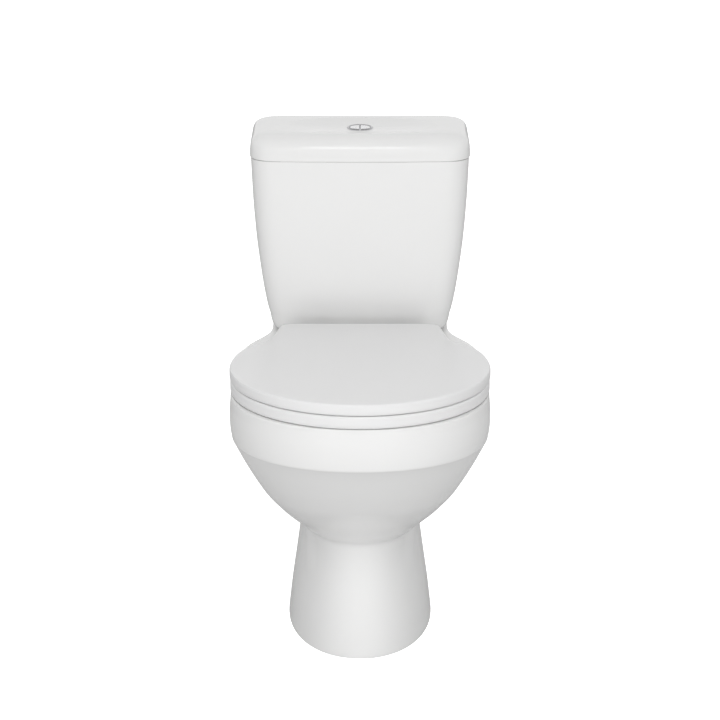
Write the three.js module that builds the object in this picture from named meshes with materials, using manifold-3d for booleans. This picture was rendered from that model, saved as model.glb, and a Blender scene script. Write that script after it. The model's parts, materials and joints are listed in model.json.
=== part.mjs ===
// Close coupled toilet: a vitreous china pan with its cistern standing on it, a hinged seat and lid,
// a dual flush valve worked by two buttons, and a float operated fill valve.
// Millimetres. +Z is up, the bowl faces -Y and the wall is at +Y. The origin is on the floor,
// under the middle of the whole assembly.
import * as THREE from "three";
import { mergeVertices } from "three/addons/utils/BufferGeometryUtils.js";
import Module from "manifold-3d";

const wasm = await Module();
wasm.setup();

// ---- Driving dimensions ----
const FRONT = -318; // foremost point of the pan
const WALL = 318; // finished wall, touched by the back of the cistern
const RIM_TOP = 404; // top of the rim and of the deck behind it
const FIT = 0.3; // clearance between pieces that touch
const SIDES = 16; // sides of a round piece

// Pan
const PAN_HALF = 184; // half of the widest width, at the band below the rim
const CHINA = 11; // wall thickness of the pan
const DECK_HALF = 133; // half-width of the deck that carries the cistern
const DECK_REAR = 300;
const DECK_UNDER = 345; // underside of the deck's edge
const DECK_PLATE = 386; // underside of the deck's plate, between the edges
const CORE_HALF = 60; // half-width of the body behind the bowl, around the trap
const FOOT_SCREW = { x: 84, y: 190, ledge: 22 };
const OUTLET_HEIGHT = 180;
const OUTLET_RADIUS = 51;
const TRAP_RADIUS = 33;

// Seat and lid
const SEAT_HALF = 184;
const SEAT_WIDEST = -121; // where the seat is widest
const SEAT_FRONT = -317;
const SEAT_ROUND_REAR = 108; // where the rear half of the round part would end
const SEAT_REAR = 101; // straight rear edge
const NECK_HALF = 118; // half-width of that edge
const SEAT_UNDER = RIM_TOP + 1.5;
const SEAT_TOP = 423;
const LID_UNDER = 424.5;
const LID_TOP = 440;
const HINGE = { x: 77.5, y: 99, z: 423 }; // 155 mm between the posts
const SEAT_STOCK = 4; // wall of the moulded seat and lid

// Cistern
const CISTERN_UNDER = 408;
const CISTERN_TOP = 674;
const CISTERN_WALL = 9;
const CISTERN_FLOOR = CISTERN_UNDER + 12;
const CISTERN_TOP_HALF = 162;
const CISTERN_TOP_FRONT = 139;
const LID_HALF = 163.5;
const LID_FRONT = 137;
const TOTAL_HEIGHT = 711;
const DISH = { y: 232, halfWidth: 117, halfDepth: 60, deep: 5 };

// Flush and fill gear
const VALVE_Y = 228; // flush valve, coupling bolts and flush inlet of the pan
const BOLT_X = 88;
const INLET = { x: 88, y: 276 }; // supply holes, one on each side
const BUTTON_Y = 237;
const BUTTON_RADIUS = 16.5;
const BUTTON_TRAVEL = 6;
const ROD_X = 9; // push rods, under the middle of each button
const DISH_FLOOR = TOTAL_HEIGHT - DISH.deep;

// ---- Finishes ----
const china = { color: 0xf1f1ef, roughness: 0.12, metalness: 0 };
const seatPlastic = { color: 0xe9e9e8, roughness: 0.3, metalness: 0 };
const chrome = { color: 0xc9ccd0, roughness: 0.08, metalness: 1 };
const whitePlastic = { color: 0xdedfdc, roughness: 0.45, metalness: 0 };
const greyPlastic = { color: 0x8f9497, roughness: 0.5, metalness: 0 };
const bluePlastic = { color: 0x3f6fa8, roughness: 0.45, metalness: 0 };
const rubber = { color: 0x26272a, roughness: 0.85, metalness: 0 };
const steel = { color: 0xaeb2b6, roughness: 0.35, metalness: 1 };

// ---- Solids ----
// A closed three.js geometry as a solid that can be joined and cut.
function solid(geometry) {
  const bare = geometry.index ? geometry.toNonIndexed() : geometry.clone();
  bare.deleteAttribute("normal");
  bare.deleteAttribute("uv");
  const merged = mergeVertices(bare, 1e-4);
  const corners = merged.index.array;
  const triangles = [];
  for (let i = 0; i < corners.length; i += 3) {
    const [a, b, c] = corners.subarray(i, i + 3);
    if (a !== b && b !== c && c !== a) triangles.push(a, b, c);
  }
  return new wasm.Manifold(
    new wasm.Mesh({
      numProp: 3,
      vertProperties: merged.attributes.position.array,
      triVerts: new Uint32Array(triangles),
    }),
  );
}

function joined(...shapes) {
  return shapes.reduce((whole, shape) => whole.add(shape));
}

function cut(shape, ...tools) {
  return tools.reduce((rest, tool) => rest.subtract(tool), shape);
}

// Box between two opposite corners.
function block(x0, x1, y0, y1, z0, z1) {
  const box = new THREE.BoxGeometry(x1 - x0, y1 - y0, z1 - z0);
  return solid(box.translate((x0 + x1) / 2, (y0 + y1) / 2, (z0 + z1) / 2));
}

// Upright cylinder or cone.
function post(x, y, z0, z1, radius, topRadius = radius, sides = SIDES) {
  const round = new THREE.CylinderGeometry(topRadius, radius, z1 - z0, sides);
  return solid(round.rotateX(Math.PI / 2).translate(x, y, (z0 + z1) / 2));
}

// Cylinder along X.
function barX(x0, x1, y, z, radius, sides = SIDES) {
  const round = new THREE.CylinderGeometry(radius, radius, x1 - x0, sides);
  return solid(round.rotateZ(Math.PI / 2).translate((x0 + x1) / 2, y, z));
}

// Cylinder along Y.
function barY(x, y0, y1, z, radius, sides = SIDES) {
  const round = new THREE.CylinderGeometry(radius, radius, y1 - y0, sides);
  return solid(round.translate(x, (y0 + y1) / 2, z));
}

// Upright ring.
function ring(x, y, z0, z1, outer, inner, sides = SIDES, boreSides = sides) {
  const bore = post(x, y, z0 - 1, z1 + 1, inner, inner, boreSides);
  return cut(post(x, y, z0, z1, outer, outer, sides), bore);
}

// Round tube or bar that follows a smooth path.
function along(points, radius, steps, sides = 10) {
  const path = new THREE.CatmullRomCurve3(points.map((p) => new THREE.Vector3(...p)));
  const section = new THREE.Shape().absarc(0, 0, radius, 0, 2 * Math.PI);
  const shape = new THREE.Shape(section.getPoints(sides).slice(0, -1));
  return solid(new THREE.ExtrudeGeometry(shape, { steps, bevelEnabled: false, extrudePath: path }));
}

// Solid through a stack of outlines, each { z, points } with the same number of points.
// A capped cylinder's rows of vertices take the places of the outlines, from the top down.
function stack(levels) {
  const count = levels[0].points.length;
  const rows = levels.length - 1;
  const geometry = new THREE.CylinderGeometry(1, 1, rows, count, rows);
  const place = geometry.attributes.position;
  for (let i = 0; i < place.count; i++) {
    const level = levels[Math.round(place.getY(i) + rows / 2)];
    const turn = Math.atan2(place.getX(i), place.getZ(i)) / (2 * Math.PI);
    const onAxis = Math.hypot(place.getX(i), place.getZ(i)) < 0.5;
    const middleY = level.points.reduce((sum, p) => sum + p[1], 0) / count;
    const [x, y] = onAxis ? [0, middleY] : level.points[(Math.round(turn * count) + count) % count];
    place.setXYZ(i, x, y, level.z);
  }
  return solid(geometry);
}

// Egg-shaped outline: its own reach in front of and behind the widest line.
// A power above 2 makes an end squarer.
function egg({ half, front, widest, rear, frontPower = 2, rearPower = 2 }, inset = 0, count = 28) {
  const points = [];
  for (let i = 0; i < count; i++) {
    const angle = (2 * Math.PI * i) / count;
    const power = 2 / (Math.sin(angle) < 0 ? frontPower : rearPower);
    const reach = Math.sin(angle) < 0 ? widest - front : rear - widest;
    const across = Math.sign(Math.cos(angle)) * Math.abs(Math.cos(angle)) ** power;
    const ahead = Math.sign(Math.sin(angle)) * Math.abs(Math.sin(angle)) ** power;
    points.push([(half - inset) * across, widest + (reach - inset) * ahead]);
  }
  return points;
}

// Rectangle with round corners and a slightly bowed front, anticlockwise from the front left.
function slab(half, front, back, frontRadius, backRadius, bow = 0) {
  const points = [];
  const corners = [
    [half - frontRadius, front + frontRadius, frontRadius, -Math.PI / 2],
    [half - backRadius, back - backRadius, backRadius, 0],
    [-half + backRadius, back - backRadius, backRadius, Math.PI / 2],
    [-half + frontRadius, front + frontRadius, frontRadius, Math.PI],
  ];
  for (let i = 0; i <= 4; i++) points.push([(i / 2 - 1) * (half - frontRadius - 1), front]);
  for (const [x, y, radius, start] of corners) {
    for (let i = 0; i <= 3; i++) {
      const angle = start + (Math.PI / 2) * (i / 3);
      points.push([x + radius * Math.cos(angle), y + radius * Math.sin(angle)]);
    }
  }
  return points.map(([x, y]) => [x, y < back - backRadius - 1 ? y + bow * (x / half) ** 2 : y]);
}

// ---- The object: nested groups and named meshes ----
const toilet = new THREE.Group();

function piece(name, shape, finish) {
  const made = shape.getMesh();
  const geometry = new THREE.BufferGeometry();
  geometry.setAttribute("position", new THREE.BufferAttribute(made.vertProperties, made.numProp));
  geometry.setIndex(new THREE.BufferAttribute(made.triVerts, 1));
  geometry.computeVertexNormals();
  const mesh = new THREE.Mesh(geometry, new THREE.MeshStandardMaterial(finish));
  mesh.name = name;
  toilet.add(mesh);
}

const sides = [
  ["left", -1],
  ["right", 1],
];

// ---- Pan ----
// Bowl, rim and pedestal in one stack: [height, half-width, front, widest line, rear].
const bodyLevels = [
  [0, 107, -129, 80, 262],
  [50, 101.5, -131, 72, 256],
  [100, 94.5, -133, 64, 248],
  [150, 88, -134, 54, 238],
  [176, 84.5, -134, 20, 228],
  [190, 92, -149, -30, 190],
  [220, 114, -191, -72, 140],
  [252, 135.5, -231, -100, 112],
  [283, 151, -260, -120, 100],
  [311, 165, -284, -130, 102],
  [330, 173.5, -300, -136, 112],
  [343, 180, -311, -138, 150],
  [367, PAN_HALF, FRONT, -138, 172],
  [390, 182.5, -316.5, -138, 174],
  [400, 181.5, -315.5, -138, 174],
  [RIM_TOP, 178, -312, -138, 170],
];
const BAND_UNDER = 340; // the rim's band starts here, and is squarer behind than the bowl below it
const bodyEgg = ([z, half, front, widest, rear]) => {
  return { half, front, widest, rear, frontPower: 2.1, rearPower: z > BAND_UNDER ? 4.6 : 2.4 };
};
const body = stack(bodyLevels.map((level) => ({ z: level[0], points: egg(bodyEgg(level)) })));

const core = stack([
  { z: 120, points: slab(CORE_HALF, 0, 226, 20, 24) },
  { z: 260, points: slab(CORE_HALF, 0, 236, 20, 24) },
  { z: DECK_UNDER + 5, points: slab(CORE_HALF + 4, 0, 262, 20, 24) },
]);
const deck = stack([
  { z: DECK_UNDER, points: slab(DECK_HALF - 8, 60, DECK_REAR - 8, 20, 40) },
  { z: DECK_UNDER + 14, points: slab(DECK_HALF - 1, 60, DECK_REAR - 1, 20, 40) },
  { z: RIM_TOP - 4, points: slab(DECK_HALF, 60, DECK_REAR, 20, 40) },
  { z: RIM_TOP, points: slab(DECK_HALF - 3, 60, DECK_REAR - 3, 20, 40) },
]);

// Inside of the bowl: [height, half-width, front, widest line, rear]; the rim overhangs the wash-down wall.
const bowlLevels = [
  [126, 36, -42, -4, 34],
  [150, 50, -84, -22, 44],
  [190, 76, -122, -46, 52],
  [220, 97, -166, -72, 58],
  [252, 120, -210, -98, 62],
  [283, 137, -242, -118, 68],
  [311, 150, -266, -128, 76],
  [340, 160, -288, -134, 88],
  [366, 164, -296, -136, 92],
  [372, 140, -272, -128, 78],
  [396, 138, -270, -128, 76],
  [RIM_TOP + 1, 144, -276, -128, 82],
];
const bowlEgg = ([, half, front, widest, rear]) => ({ half, front, widest, rear });
const bowl = stack(bowlLevels.map((level) => ({ z: level[0], points: egg(bowlEgg(level), 0, 24) })));
const bowlWall = stack(
  bowlLevels
    .filter(([z]) => z < 367)
    .map((level, i) => ({ z: level[0] - (i ? 0 : CHINA), points: egg(bowlEgg(level), -CHINA - 3, 24) })),
);

// The trap rises from the sump over the weir and falls to the outlet.
const trapPath = [
  [0, 0, 136],
  [0, 46, 121],
  [0, 92, 132],
  [0, 124, 172],
  [0, 144, 216],
  [0, 178, 240],
  [0, 212, 222],
  [0, 238, 192],
  [0, 268, OUTLET_HEIGHT],
];
const outletRun = [
  [0, 285, OUTLET_HEIGHT],
  [0, 306, OUTLET_HEIGHT],
];
const trap = along([...trapPath, ...outletRun], TRAP_RADIUS, 16);
const trapWall = along(trapPath, TRAP_RADIUS + CHINA - 2, 12);
const spigot = barY(0, 200, 302, OUTLET_HEIGHT, OUTLET_RADIUS);
const spigotBore = barY(0, 262, 306, OUTLET_HEIGHT, OUTLET_RADIUS - CHINA + 3);

// Flush water drops through the deck and runs forward to the back of the bowl.
const FLUSH_SHAFT = { radius: 34, floor: 318, seat: 382, seatRadius: 52 };
const flushShaft = post(0, VALVE_Y, FLUSH_SHAFT.floor, RIM_TOP + 1, FLUSH_SHAFT.radius);
const flushSeat = post(0, VALVE_Y, FLUSH_SHAFT.seat, RIM_TOP + 1, FLUSH_SHAFT.seatRadius);
const flushRun = barY(0, 60, VALVE_Y, 342, 23);
const flushWall = joined(
  post(0, VALVE_Y, FLUSH_SHAFT.floor - CHINA, RIM_TOP, FLUSH_SHAFT.seatRadius + 9),
  barY(0, 60, VALVE_Y, 342, 23 + CHINA),
);

// The casting is hollow from below: pedestal, core and the underside of the deck.
const pedestalHollow = stack([
  { z: -1, points: egg(bodyEgg(bodyLevels[0]), CHINA) },
  ...bodyLevels.slice(1, 4).map((level) => ({ z: level[0], points: egg(bodyEgg(level), CHINA) })),
  { z: 168, points: egg(bodyEgg(bodyLevels[4]), CHINA + 3) },
]);
const coreHollow = stack([
  { z: 110, points: slab(CORE_HALF - CHINA, 10, 226 - CHINA, 12, 14) },
  { z: 260, points: slab(CORE_HALF - CHINA, 10, 236 - CHINA, 12, 14) },
  { z: 330, points: slab(CORE_HALF - CHINA, 10, 250 - CHINA, 12, 14) },
]);
const pocketWalls = sides.map(([, side]) => post(side * FOOT_SCREW.x, FOOT_SCREW.y, -2, 84, 25));
const hollow = cut(
  joined(pedestalHollow, coreHollow),
  bowlWall,
  trapWall,
  spigot,
  flushWall,
  ...pocketWalls,
);
const deckRecess = cut(
  stack([
    { z: DECK_UNDER - 20, points: slab(DECK_HALF - CHINA - 6, 74, DECK_REAR - CHINA - 8, 20, 34) },
    { z: DECK_PLATE, points: slab(DECK_HALF - CHINA, 74, DECK_REAR - CHINA, 20, 34) },
  ]),
  bowlWall,
  flushWall,
  core,
);

const footLugs = sides.map(([, side]) => post(side * FOOT_SCREW.x, FOOT_SCREW.y, 0, FOOT_SCREW.ledge, 17));
const footPockets = sides.map(([, side]) =>
  joined(
    post(side * (FOOT_SCREW.x + 2), FOOT_SCREW.y, FOOT_SCREW.ledge, 74, 14),
    post(side * FOOT_SCREW.x, FOOT_SCREW.y, -1, FOOT_SCREW.ledge + 1, 3.5, 3.5, 12),
  ),
);
const deckHoles = sides.flatMap(([, side]) => [
  post(side * BOLT_X, VALVE_Y, DECK_PLATE - 20, RIM_TOP + 1, 6.5, 6.5, 12),
  post(side * HINGE.x, HINGE.y, DECK_PLATE - 60, RIM_TOP + 1, 7, 7, 12),
  post(side * INLET.x, INLET.y, DECK_UNDER - 60, RIM_TOP + 1, 28),
]);
const hingeNutRoom = sides.map(([, side]) => post(side * HINGE.x, HINGE.y + 4, 300, DECK_PLATE, 22));

piece(
  "pan",
  cut(
    joined(body, core, deck, spigot, ...footLugs),
    bowl,
    trap,
    spigotBore,
    flushShaft,
    flushSeat,
    flushRun,
    hollow,
    deckRecess,
    ...footPockets,
    ...deckHoles,
    ...hingeNutRoom,
  ),
  china,
);

// ---- Cistern ----
const cisternLevels = [
  [CISTERN_UNDER, 121, 160],
  [412, 128.5, 154],
  [419, 132.5, 151],
  [434, 136.5, 150],
  [452, 140.5, 149],
  [484, 146, 147],
  [545, 154, 144],
  [607, 159, 141],
  [CISTERN_TOP, CISTERN_TOP_HALF, CISTERN_TOP_FRONT],
];
const cisternOutline = (half, front, inset) =>
  slab(half - inset, front + inset, WALL - inset, 30 - inset / 2, 14 - inset / 2, 7);
const cisternShell = stack(
  cisternLevels.map(([z, half, front]) => ({ z, points: cisternOutline(half, front, 0) })),
);
const cisternInside = stack([
  { z: CISTERN_FLOOR, points: cisternOutline(128, 156, CISTERN_WALL) },
  ...cisternLevels.slice(3, -1).map(([z, half, front]) => {
    return { z, points: cisternOutline(half, front, CISTERN_WALL) };
  }),
  { z: CISTERN_TOP + 1, points: cisternOutline(CISTERN_TOP_HALF, CISTERN_TOP_FRONT, CISTERN_WALL) },
]);
const WALL_SCREW = { x: 110, z: 610 };
const cisternHoles = sides.flatMap(([, side]) => [
  post(side * BOLT_X, VALVE_Y, CISTERN_UNDER - 1, CISTERN_FLOOR + 1, 5.5, 5.5, 12),
  post(side * INLET.x, INLET.y, CISTERN_UNDER - 1, CISTERN_FLOOR + 1, 11),
  barY(side * WALL_SCREW.x, WALL - CISTERN_WALL - 1, WALL + 1, WALL_SCREW.z, 4, 12),
]);
piece(
  "cistern",
  cut(
    cisternShell,
    cisternInside,
    post(0, VALVE_Y, CISTERN_UNDER - 1, CISTERN_FLOOR + 1, 32),
    ...cisternHoles,
  ),
  china,
);

// ---- Cistern lid: a pillow-edged slab with an oval dish around the buttons ----
const LID_WALL = 10;
// Height, inset of the sides and inset of the front: the sides stay upright for longer.
const lidLevels = [
  [CISTERN_TOP + FIT, 1, 1],
  [CISTERN_TOP + 2, 0, 0],
  [686, 0.2, 0.5],
  [695, 1, 3.5],
  [702, 2.8, 9],
  [707, 8, 17],
  [TOTAL_HEIGHT, 28, 32],
];
const lidOutline = (side, front = side) =>
  slab(LID_HALF - side, LID_FRONT + front, WALL - front / 3, 34 - front / 2, 16 - front / 4, 7);
const lidShell = stack(
  lidLevels.map(([z, side, front]) => ({ z, points: lidOutline(side, front) })),
);
const dishSphere = new THREE.SphereGeometry(1, 24, 8);
const dish = solid(
  dishSphere
    .rotateX(Math.PI / 2)
    .scale(DISH.halfWidth, DISH.halfDepth, DISH.deep)
    .translate(0, DISH.y, TOTAL_HEIGHT),
);
const lidCavity = stack([
  { z: CISTERN_TOP - 1, points: lidOutline(LID_WALL) },
  { z: 688, points: lidOutline(LID_WALL + 1) },
  { z: 696, points: lidOutline(LID_WALL + 10) },
]);
const lipBlock = (inset, z0, z1) => {
  const points = cisternOutline(CISTERN_TOP_HALF, CISTERN_TOP_FRONT, CISTERN_WALL + inset);
  return stack([
    { z: z0, points },
    { z: z1, points },
  ]);
};
const lidLip = cut(
  lipBlock(2, CISTERN_TOP - 7, CISTERN_TOP + 16),
  lipBlock(8, CISTERN_TOP - 8, CISTERN_TOP + 17),
);
piece(
  "cistern_lid",
  cut(
    joined(cut(lidShell, lidCavity), lidLip),
    dish,
    post(0, BUTTON_Y, 680, TOTAL_HEIGHT + 1, BUTTON_RADIUS + 1.5),
    post(0, BUTTON_Y, DISH_FLOOR - 0.5, TOTAL_HEIGHT + 1, BUTTON_RADIUS + 4),
  ),
  china,
);

// ---- Seat and lid ----
// Outline of the seat: half an ellipse in front, a fuller one behind, drawn in to a straight neck.
function seatShape(inset) {
  const half = SEAT_HALF - inset;
  const frontReach = SEAT_WIDEST - SEAT_FRONT - inset;
  const rearReach = SEAT_ROUND_REAR - SEAT_WIDEST - inset;
  const shoulder = 0.595; // turn at which the neck leaves the rear ellipse, in radians
  const neck = NECK_HALF - inset;
  const rear = SEAT_REAR - inset;
  const shape = new THREE.Shape();
  const shoulderX = half * Math.cos(shoulder);
  const shoulderY = SEAT_WIDEST + rearReach * Math.sin(shoulder);
  const waist = [neck + 9, shoulderY + 26];
  shape.moveTo(half, SEAT_WIDEST);
  shape.absellipse(0, SEAT_WIDEST, half, rearReach, 0, shoulder);
  shape.quadraticCurveTo(shoulderX - 16, shoulderY + 13, ...waist);
  shape.quadraticCurveTo(neck + 2, shoulderY + 55, neck, rear - 8);
  shape.lineTo(neck - 5, rear);
  shape.lineTo(5 - neck, rear);
  shape.lineTo(-neck, rear - 8);
  shape.quadraticCurveTo(-neck - 2, shoulderY + 55, -waist[0], waist[1]);
  shape.quadraticCurveTo(16 - shoulderX, shoulderY + 13, -shoulderX, shoulderY);
  shape.absellipse(0, SEAT_WIDEST, half, rearReach, Math.PI - shoulder, Math.PI);
  shape.absellipse(0, SEAT_WIDEST, half, frontReach, Math.PI, 2 * Math.PI);
  return shape;
}

// Flat plate of a shape between two heights, with its edges rounded by a bevel inside the outline.
function plate(shapeAt, inset, z0, z1, edge = 0) {
  const options = { depth: z1 - z0 - 2 * edge, bevelEnabled: edge > 0, curveSegments: 5 };
  Object.assign(options, { bevelThickness: edge, bevelSize: edge, bevelSegments: 1 });
  return solid(new THREE.ExtrudeGeometry(shapeAt(inset + edge), options).translate(0, 0, z0 + edge));
}

const SEAT_HOLE = { half: 104, y: -128, reach: 136 };
function holeShape(inset) {
  const [across, ahead] = [SEAT_HOLE.half - inset, SEAT_HOLE.reach - inset];
  return new THREE.Shape().absellipse(0, SEAT_HOLE.y, across, ahead, 0, 2 * Math.PI);
}
const POST_ROOM = { inner: 51, outer: 105, front: 76 }; // slots in seat and lid for the hinge posts
const postRooms = (z0, z1) =>
  sides.map(([, side]) => {
    const [a, b] = [side * POST_ROOM.inner, side * POST_ROOM.outer].sort((p, q) => p - q);
    return block(a, b, POST_ROOM.front, SEAT_REAR + 9, z0, z1);
  });
// Lug of a hinge: a plate around the pin, running forward into the seat or the lid.
const PIN_RADIUS = 3;
function hingeLug(side, x0, x1, front, z0, z1) {
  const [a, b] = [side * x0, side * x1].sort((p, q) => p - q);
  const arm = block(a, b, front, HINGE.y, z0, z1);
  const barrel = barX(a, b, HINGE.y, HINGE.z, 8);
  return cut(joined(arm, barrel), barX(a - 1, b + 1, HINGE.y, HINGE.z, PIN_RADIUS + FIT));
}

const holeOptions = { depth: 40, bevelEnabled: false, curveSegments: 12 };
const seatHole = new THREE.ExtrudeGeometry(holeShape(0), holeOptions).translate(0, 0, SEAT_UNDER - 10);
const seatRing = cut(plate(seatShape, 1, SEAT_UNDER, SEAT_TOP, 4), solid(seatHole));
const seatChannel = cut(
  plate(seatShape, 9, SEAT_UNDER - 5, SEAT_TOP - SEAT_STOCK, 0),
  plate(holeShape, -8, SEAT_UNDER - 6, SEAT_TOP, 0),
  block(-200, 200, POST_ROOM.front - 10, SEAT_REAR + 10, SEAT_UNDER - 6, SEAT_TOP),
);
const seatBuffers = [
  ["front_left", -118, -232],
  ["front_right", 118, -232],
  ["rear_left", -134, -34],
  ["rear_right", 134, -34],
];
const bufferBosses = seatBuffers.map(([, x, y]) => post(x, y, SEAT_UNDER + 4, SEAT_TOP - 1, 12, 12, 16));
piece(
  "seat_ring",
  joined(
    cut(seatRing, seatChannel, ...postRooms(SEAT_UNDER - 1, SEAT_TOP + 1)),
    ...bufferBosses,
    ...sides.map(([, side]) => hingeLug(side, 53, 63, POST_ROOM.front - 2, 415, SEAT_TOP - 0.5)),
  ),
  seatPlastic,
);
for (const [place, x, y] of seatBuffers) {
  piece(`seat_buffer_${place}`, post(x, y, RIM_TOP + FIT, SEAT_UNDER + 4 - FIT, 9, 9), rubber);
}

const LID_BUFFER = { x: 128, y: -190, top: 430 };
const lidRoof = LID_TOP - SEAT_STOCK;
const lidPlate = cut(
  plate(seatShape, 0, LID_UNDER, LID_TOP, 4),
  plate(seatShape, 5, LID_UNDER - 9, lidRoof),
);
piece(
  "seat_lid",
  joined(
    cut(lidPlate, ...postRooms(LID_UNDER - 2, lidRoof)),
    ...sides.map(([, side]) => hingeLug(side, 93, 103, POST_ROOM.front - 4, LID_UNDER + 1, LID_TOP - 2)),
    ...sides.map(([, side]) => post(side * LID_BUFFER.x, LID_BUFFER.y, LID_BUFFER.top, LID_TOP - 2, 10)),
  ),
  seatPlastic,
);

// Hub with two thumb wings.
function wingNut(x, y, z0, z1, bore, span) {
  const hub = post(x, y, z0 + 2, z1, bore + 5, bore + 5, 12);
  const wings = block(x - span, x + span, y - 2, y + 2, z0, z1 - 2);
  return cut(joined(hub, wings), post(x, y, z0 - 1, z1 + 1, bore, bore, 12));
}

// Posts of the hinges, each held by a stud through the deck.
const STUD = { radius: 4, bore: 4.3, foot: 350 };

for (const [name, side] of sides) {
  const x = side * HINGE.x;
  piece(
    `lid_buffer_${name}`,
    post(side * LID_BUFFER.x, LID_BUFFER.y, SEAT_TOP + FIT, LID_BUFFER.top - FIT, 8),
    rubber,
  );
  piece(
    `hinge_post_${name}`,
    cut(
      joined(
        post(x, HINGE.y, RIM_TOP + FIT, RIM_TOP + 5, 17, 15),
        block(x - 9, x + 9, HINGE.y - 8, HINGE.y + 8, RIM_TOP + 4, HINGE.z),
        barX(x - 13, x + 13, HINGE.y, HINGE.z, 8.5),
      ),
      barX(x - 14, x + 14, HINGE.y, HINGE.z, PIN_RADIUS + FIT),
      post(x, HINGE.y, RIM_TOP - 1, HINGE.z - 7, STUD.bore, STUD.bore, 12),
    ),
    chrome,
  );
  piece(`hinge_pin_${name}`, barX(x - 25.5, x + 25.5, HINGE.y, HINGE.z, PIN_RADIUS, 12), steel);
  const washerUnder = DECK_PLATE - 6;
  const stud = post(x, HINGE.y, STUD.foot, HINGE.z - 7.5, STUD.radius, STUD.radius, 12);
  piece(`hinge_stud_${name}`, stud, steel);
  piece(`hinge_washer_${name}`, ring(x, HINGE.y, washerUnder, DECK_PLATE - FIT, 14, STUD.bore), rubber);
  const nut = wingNut(x, HINGE.y, washerUnder - 12, washerUnder - FIT, STUD.bore, 18);
  piece(`hinge_wing_nut_${name}`, nut, whitePlastic);
}

// ---- Close coupling: bolts, washers and the seal between cistern and pan ----
for (const [name, side] of sides) {
  const x = side * BOLT_X;
  piece(
    `coupling_bolt_${name}`,
    joined(
      post(x, VALVE_Y, CISTERN_FLOOR + 5, CISTERN_FLOOR + 10, 8, 8, 6),
      post(x, VALVE_Y, STUD.foot, CISTERN_FLOOR + 6, STUD.radius, STUD.radius, 12),
    ),
    steel,
  );
  piece(
    `coupling_seal_${name}`,
    ring(x, VALVE_Y, CISTERN_FLOOR + FIT, CISTERN_FLOOR + 5 - FIT, 13, STUD.bore),
    rubber,
  );
  piece(`coupling_washer_${name}`, ring(x, VALVE_Y, DECK_PLATE - 2, DECK_PLATE - FIT, 14, STUD.bore), steel);
  piece(
    `coupling_wing_nut_${name}`,
    wingNut(x, VALVE_Y, DECK_PLATE - 14, DECK_PLATE - 2 - FIT, STUD.bore, 18),
    steel,
  );
}
const TAIL = { outer: 29, inner: 24, bottom: 372 };
piece("coupling_doughnut", ring(0, VALVE_Y, FLUSH_SHAFT.seat + FIT, 396, 49, TAIL.outer + 1), rubber);
piece(
  "flush_valve_back_nut",
  ring(0, VALVE_Y, 396 + FIT, CISTERN_UNDER - FIT, 40, TAIL.outer + FIT, 8, SIDES),
  whitePlastic,
);

// ---- Flush valve ----
const BASE = { flange: 39, top: 440 };
piece(
  "flush_valve_base",
  joined(
    ring(0, VALVE_Y, TAIL.bottom, CISTERN_FLOOR + 4, TAIL.outer, TAIL.inner),
    ring(0, VALVE_Y, CISTERN_FLOOR + 3 + FIT, CISTERN_FLOOR + 8, BASE.flange, TAIL.inner),
    ring(0, VALVE_Y, CISTERN_FLOOR + 7, BASE.top - 5, TAIL.outer, TAIL.inner),
  ),
  whitePlastic,
);
piece("flush_valve_seal", ring(0, VALVE_Y, BASE.top - 5 + FIT, BASE.top, 28, 17), rubber);
piece("base_washer", ring(0, VALVE_Y, CISTERN_FLOOR + FIT, CISTERN_FLOOR + 3, 37, TAIL.outer + FIT), rubber);

// The tube lifts off its seat. Each button pushes down one end of a lever on a shared axle, and the
// lever's long end goes up: the full flush lever lifts the tube by its lug.
const TUBE = { outer: 14, inner: 11.5, top: 566, armLow: 554, armHigh: 560 };
const LEVER = { z: 600, half: 3, rod: 14, lift: 31, fullY: 232, halfY: 242 };
const LEVER_GAP = 1.2;
const LUG = { near: 22, far: 37, thick: 4 };
const FULL_LUG_Z = LEVER.z + LEVER.half + LEVER_GAP;
const HALF_LUG_Z = FULL_LUG_Z + 19; // above the reach of the half flush lever
function tubeArm(side, y0, y1, inner, lugZ) {
  const span = (near, far) => [side * near, side * far].sort((p, q) => p - q);
  return joined(
    block(...span(inner, LUG.far), y0, y1, TUBE.armLow, TUBE.armHigh),
    block(...span(LUG.far - 3, LUG.far), y0, y1, TUBE.armLow, lugZ + LUG.thick),
    block(...span(LUG.near, LUG.far), y0, y1, lugZ, lugZ + LUG.thick),
  );
}
piece(
  "flush_valve_tube",
  joined(
    ring(0, VALVE_Y, BASE.top + 2, TUBE.top, TUBE.outer, TUBE.inner),
    ring(0, VALVE_Y, BASE.top + FIT, BASE.top + 4, 26, TUBE.inner),
    tubeArm(-1, LEVER.fullY - 2, LEVER.fullY + 2, 12.5, FULL_LUG_Z),
    tubeArm(1, LEVER.halfY - 2, LEVER.halfY + 2, 2, HALF_LUG_Z),
  ),
  bluePlastic,
);
const CAGE = { foot: CISTERN_FLOOR + 8 + FIT, bridge: 586, plateY: 30 };
const AXLE_RADIUS = 1.5;
const cheeks = [
  [LEVER.fullY - 4.8, LEVER.fullY - 2.3],
  [LEVER.fullY + 2.3, LEVER.halfY - 2.3],
  [LEVER.halfY + 2.3, LEVER.halfY + 4.8],
];
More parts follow.
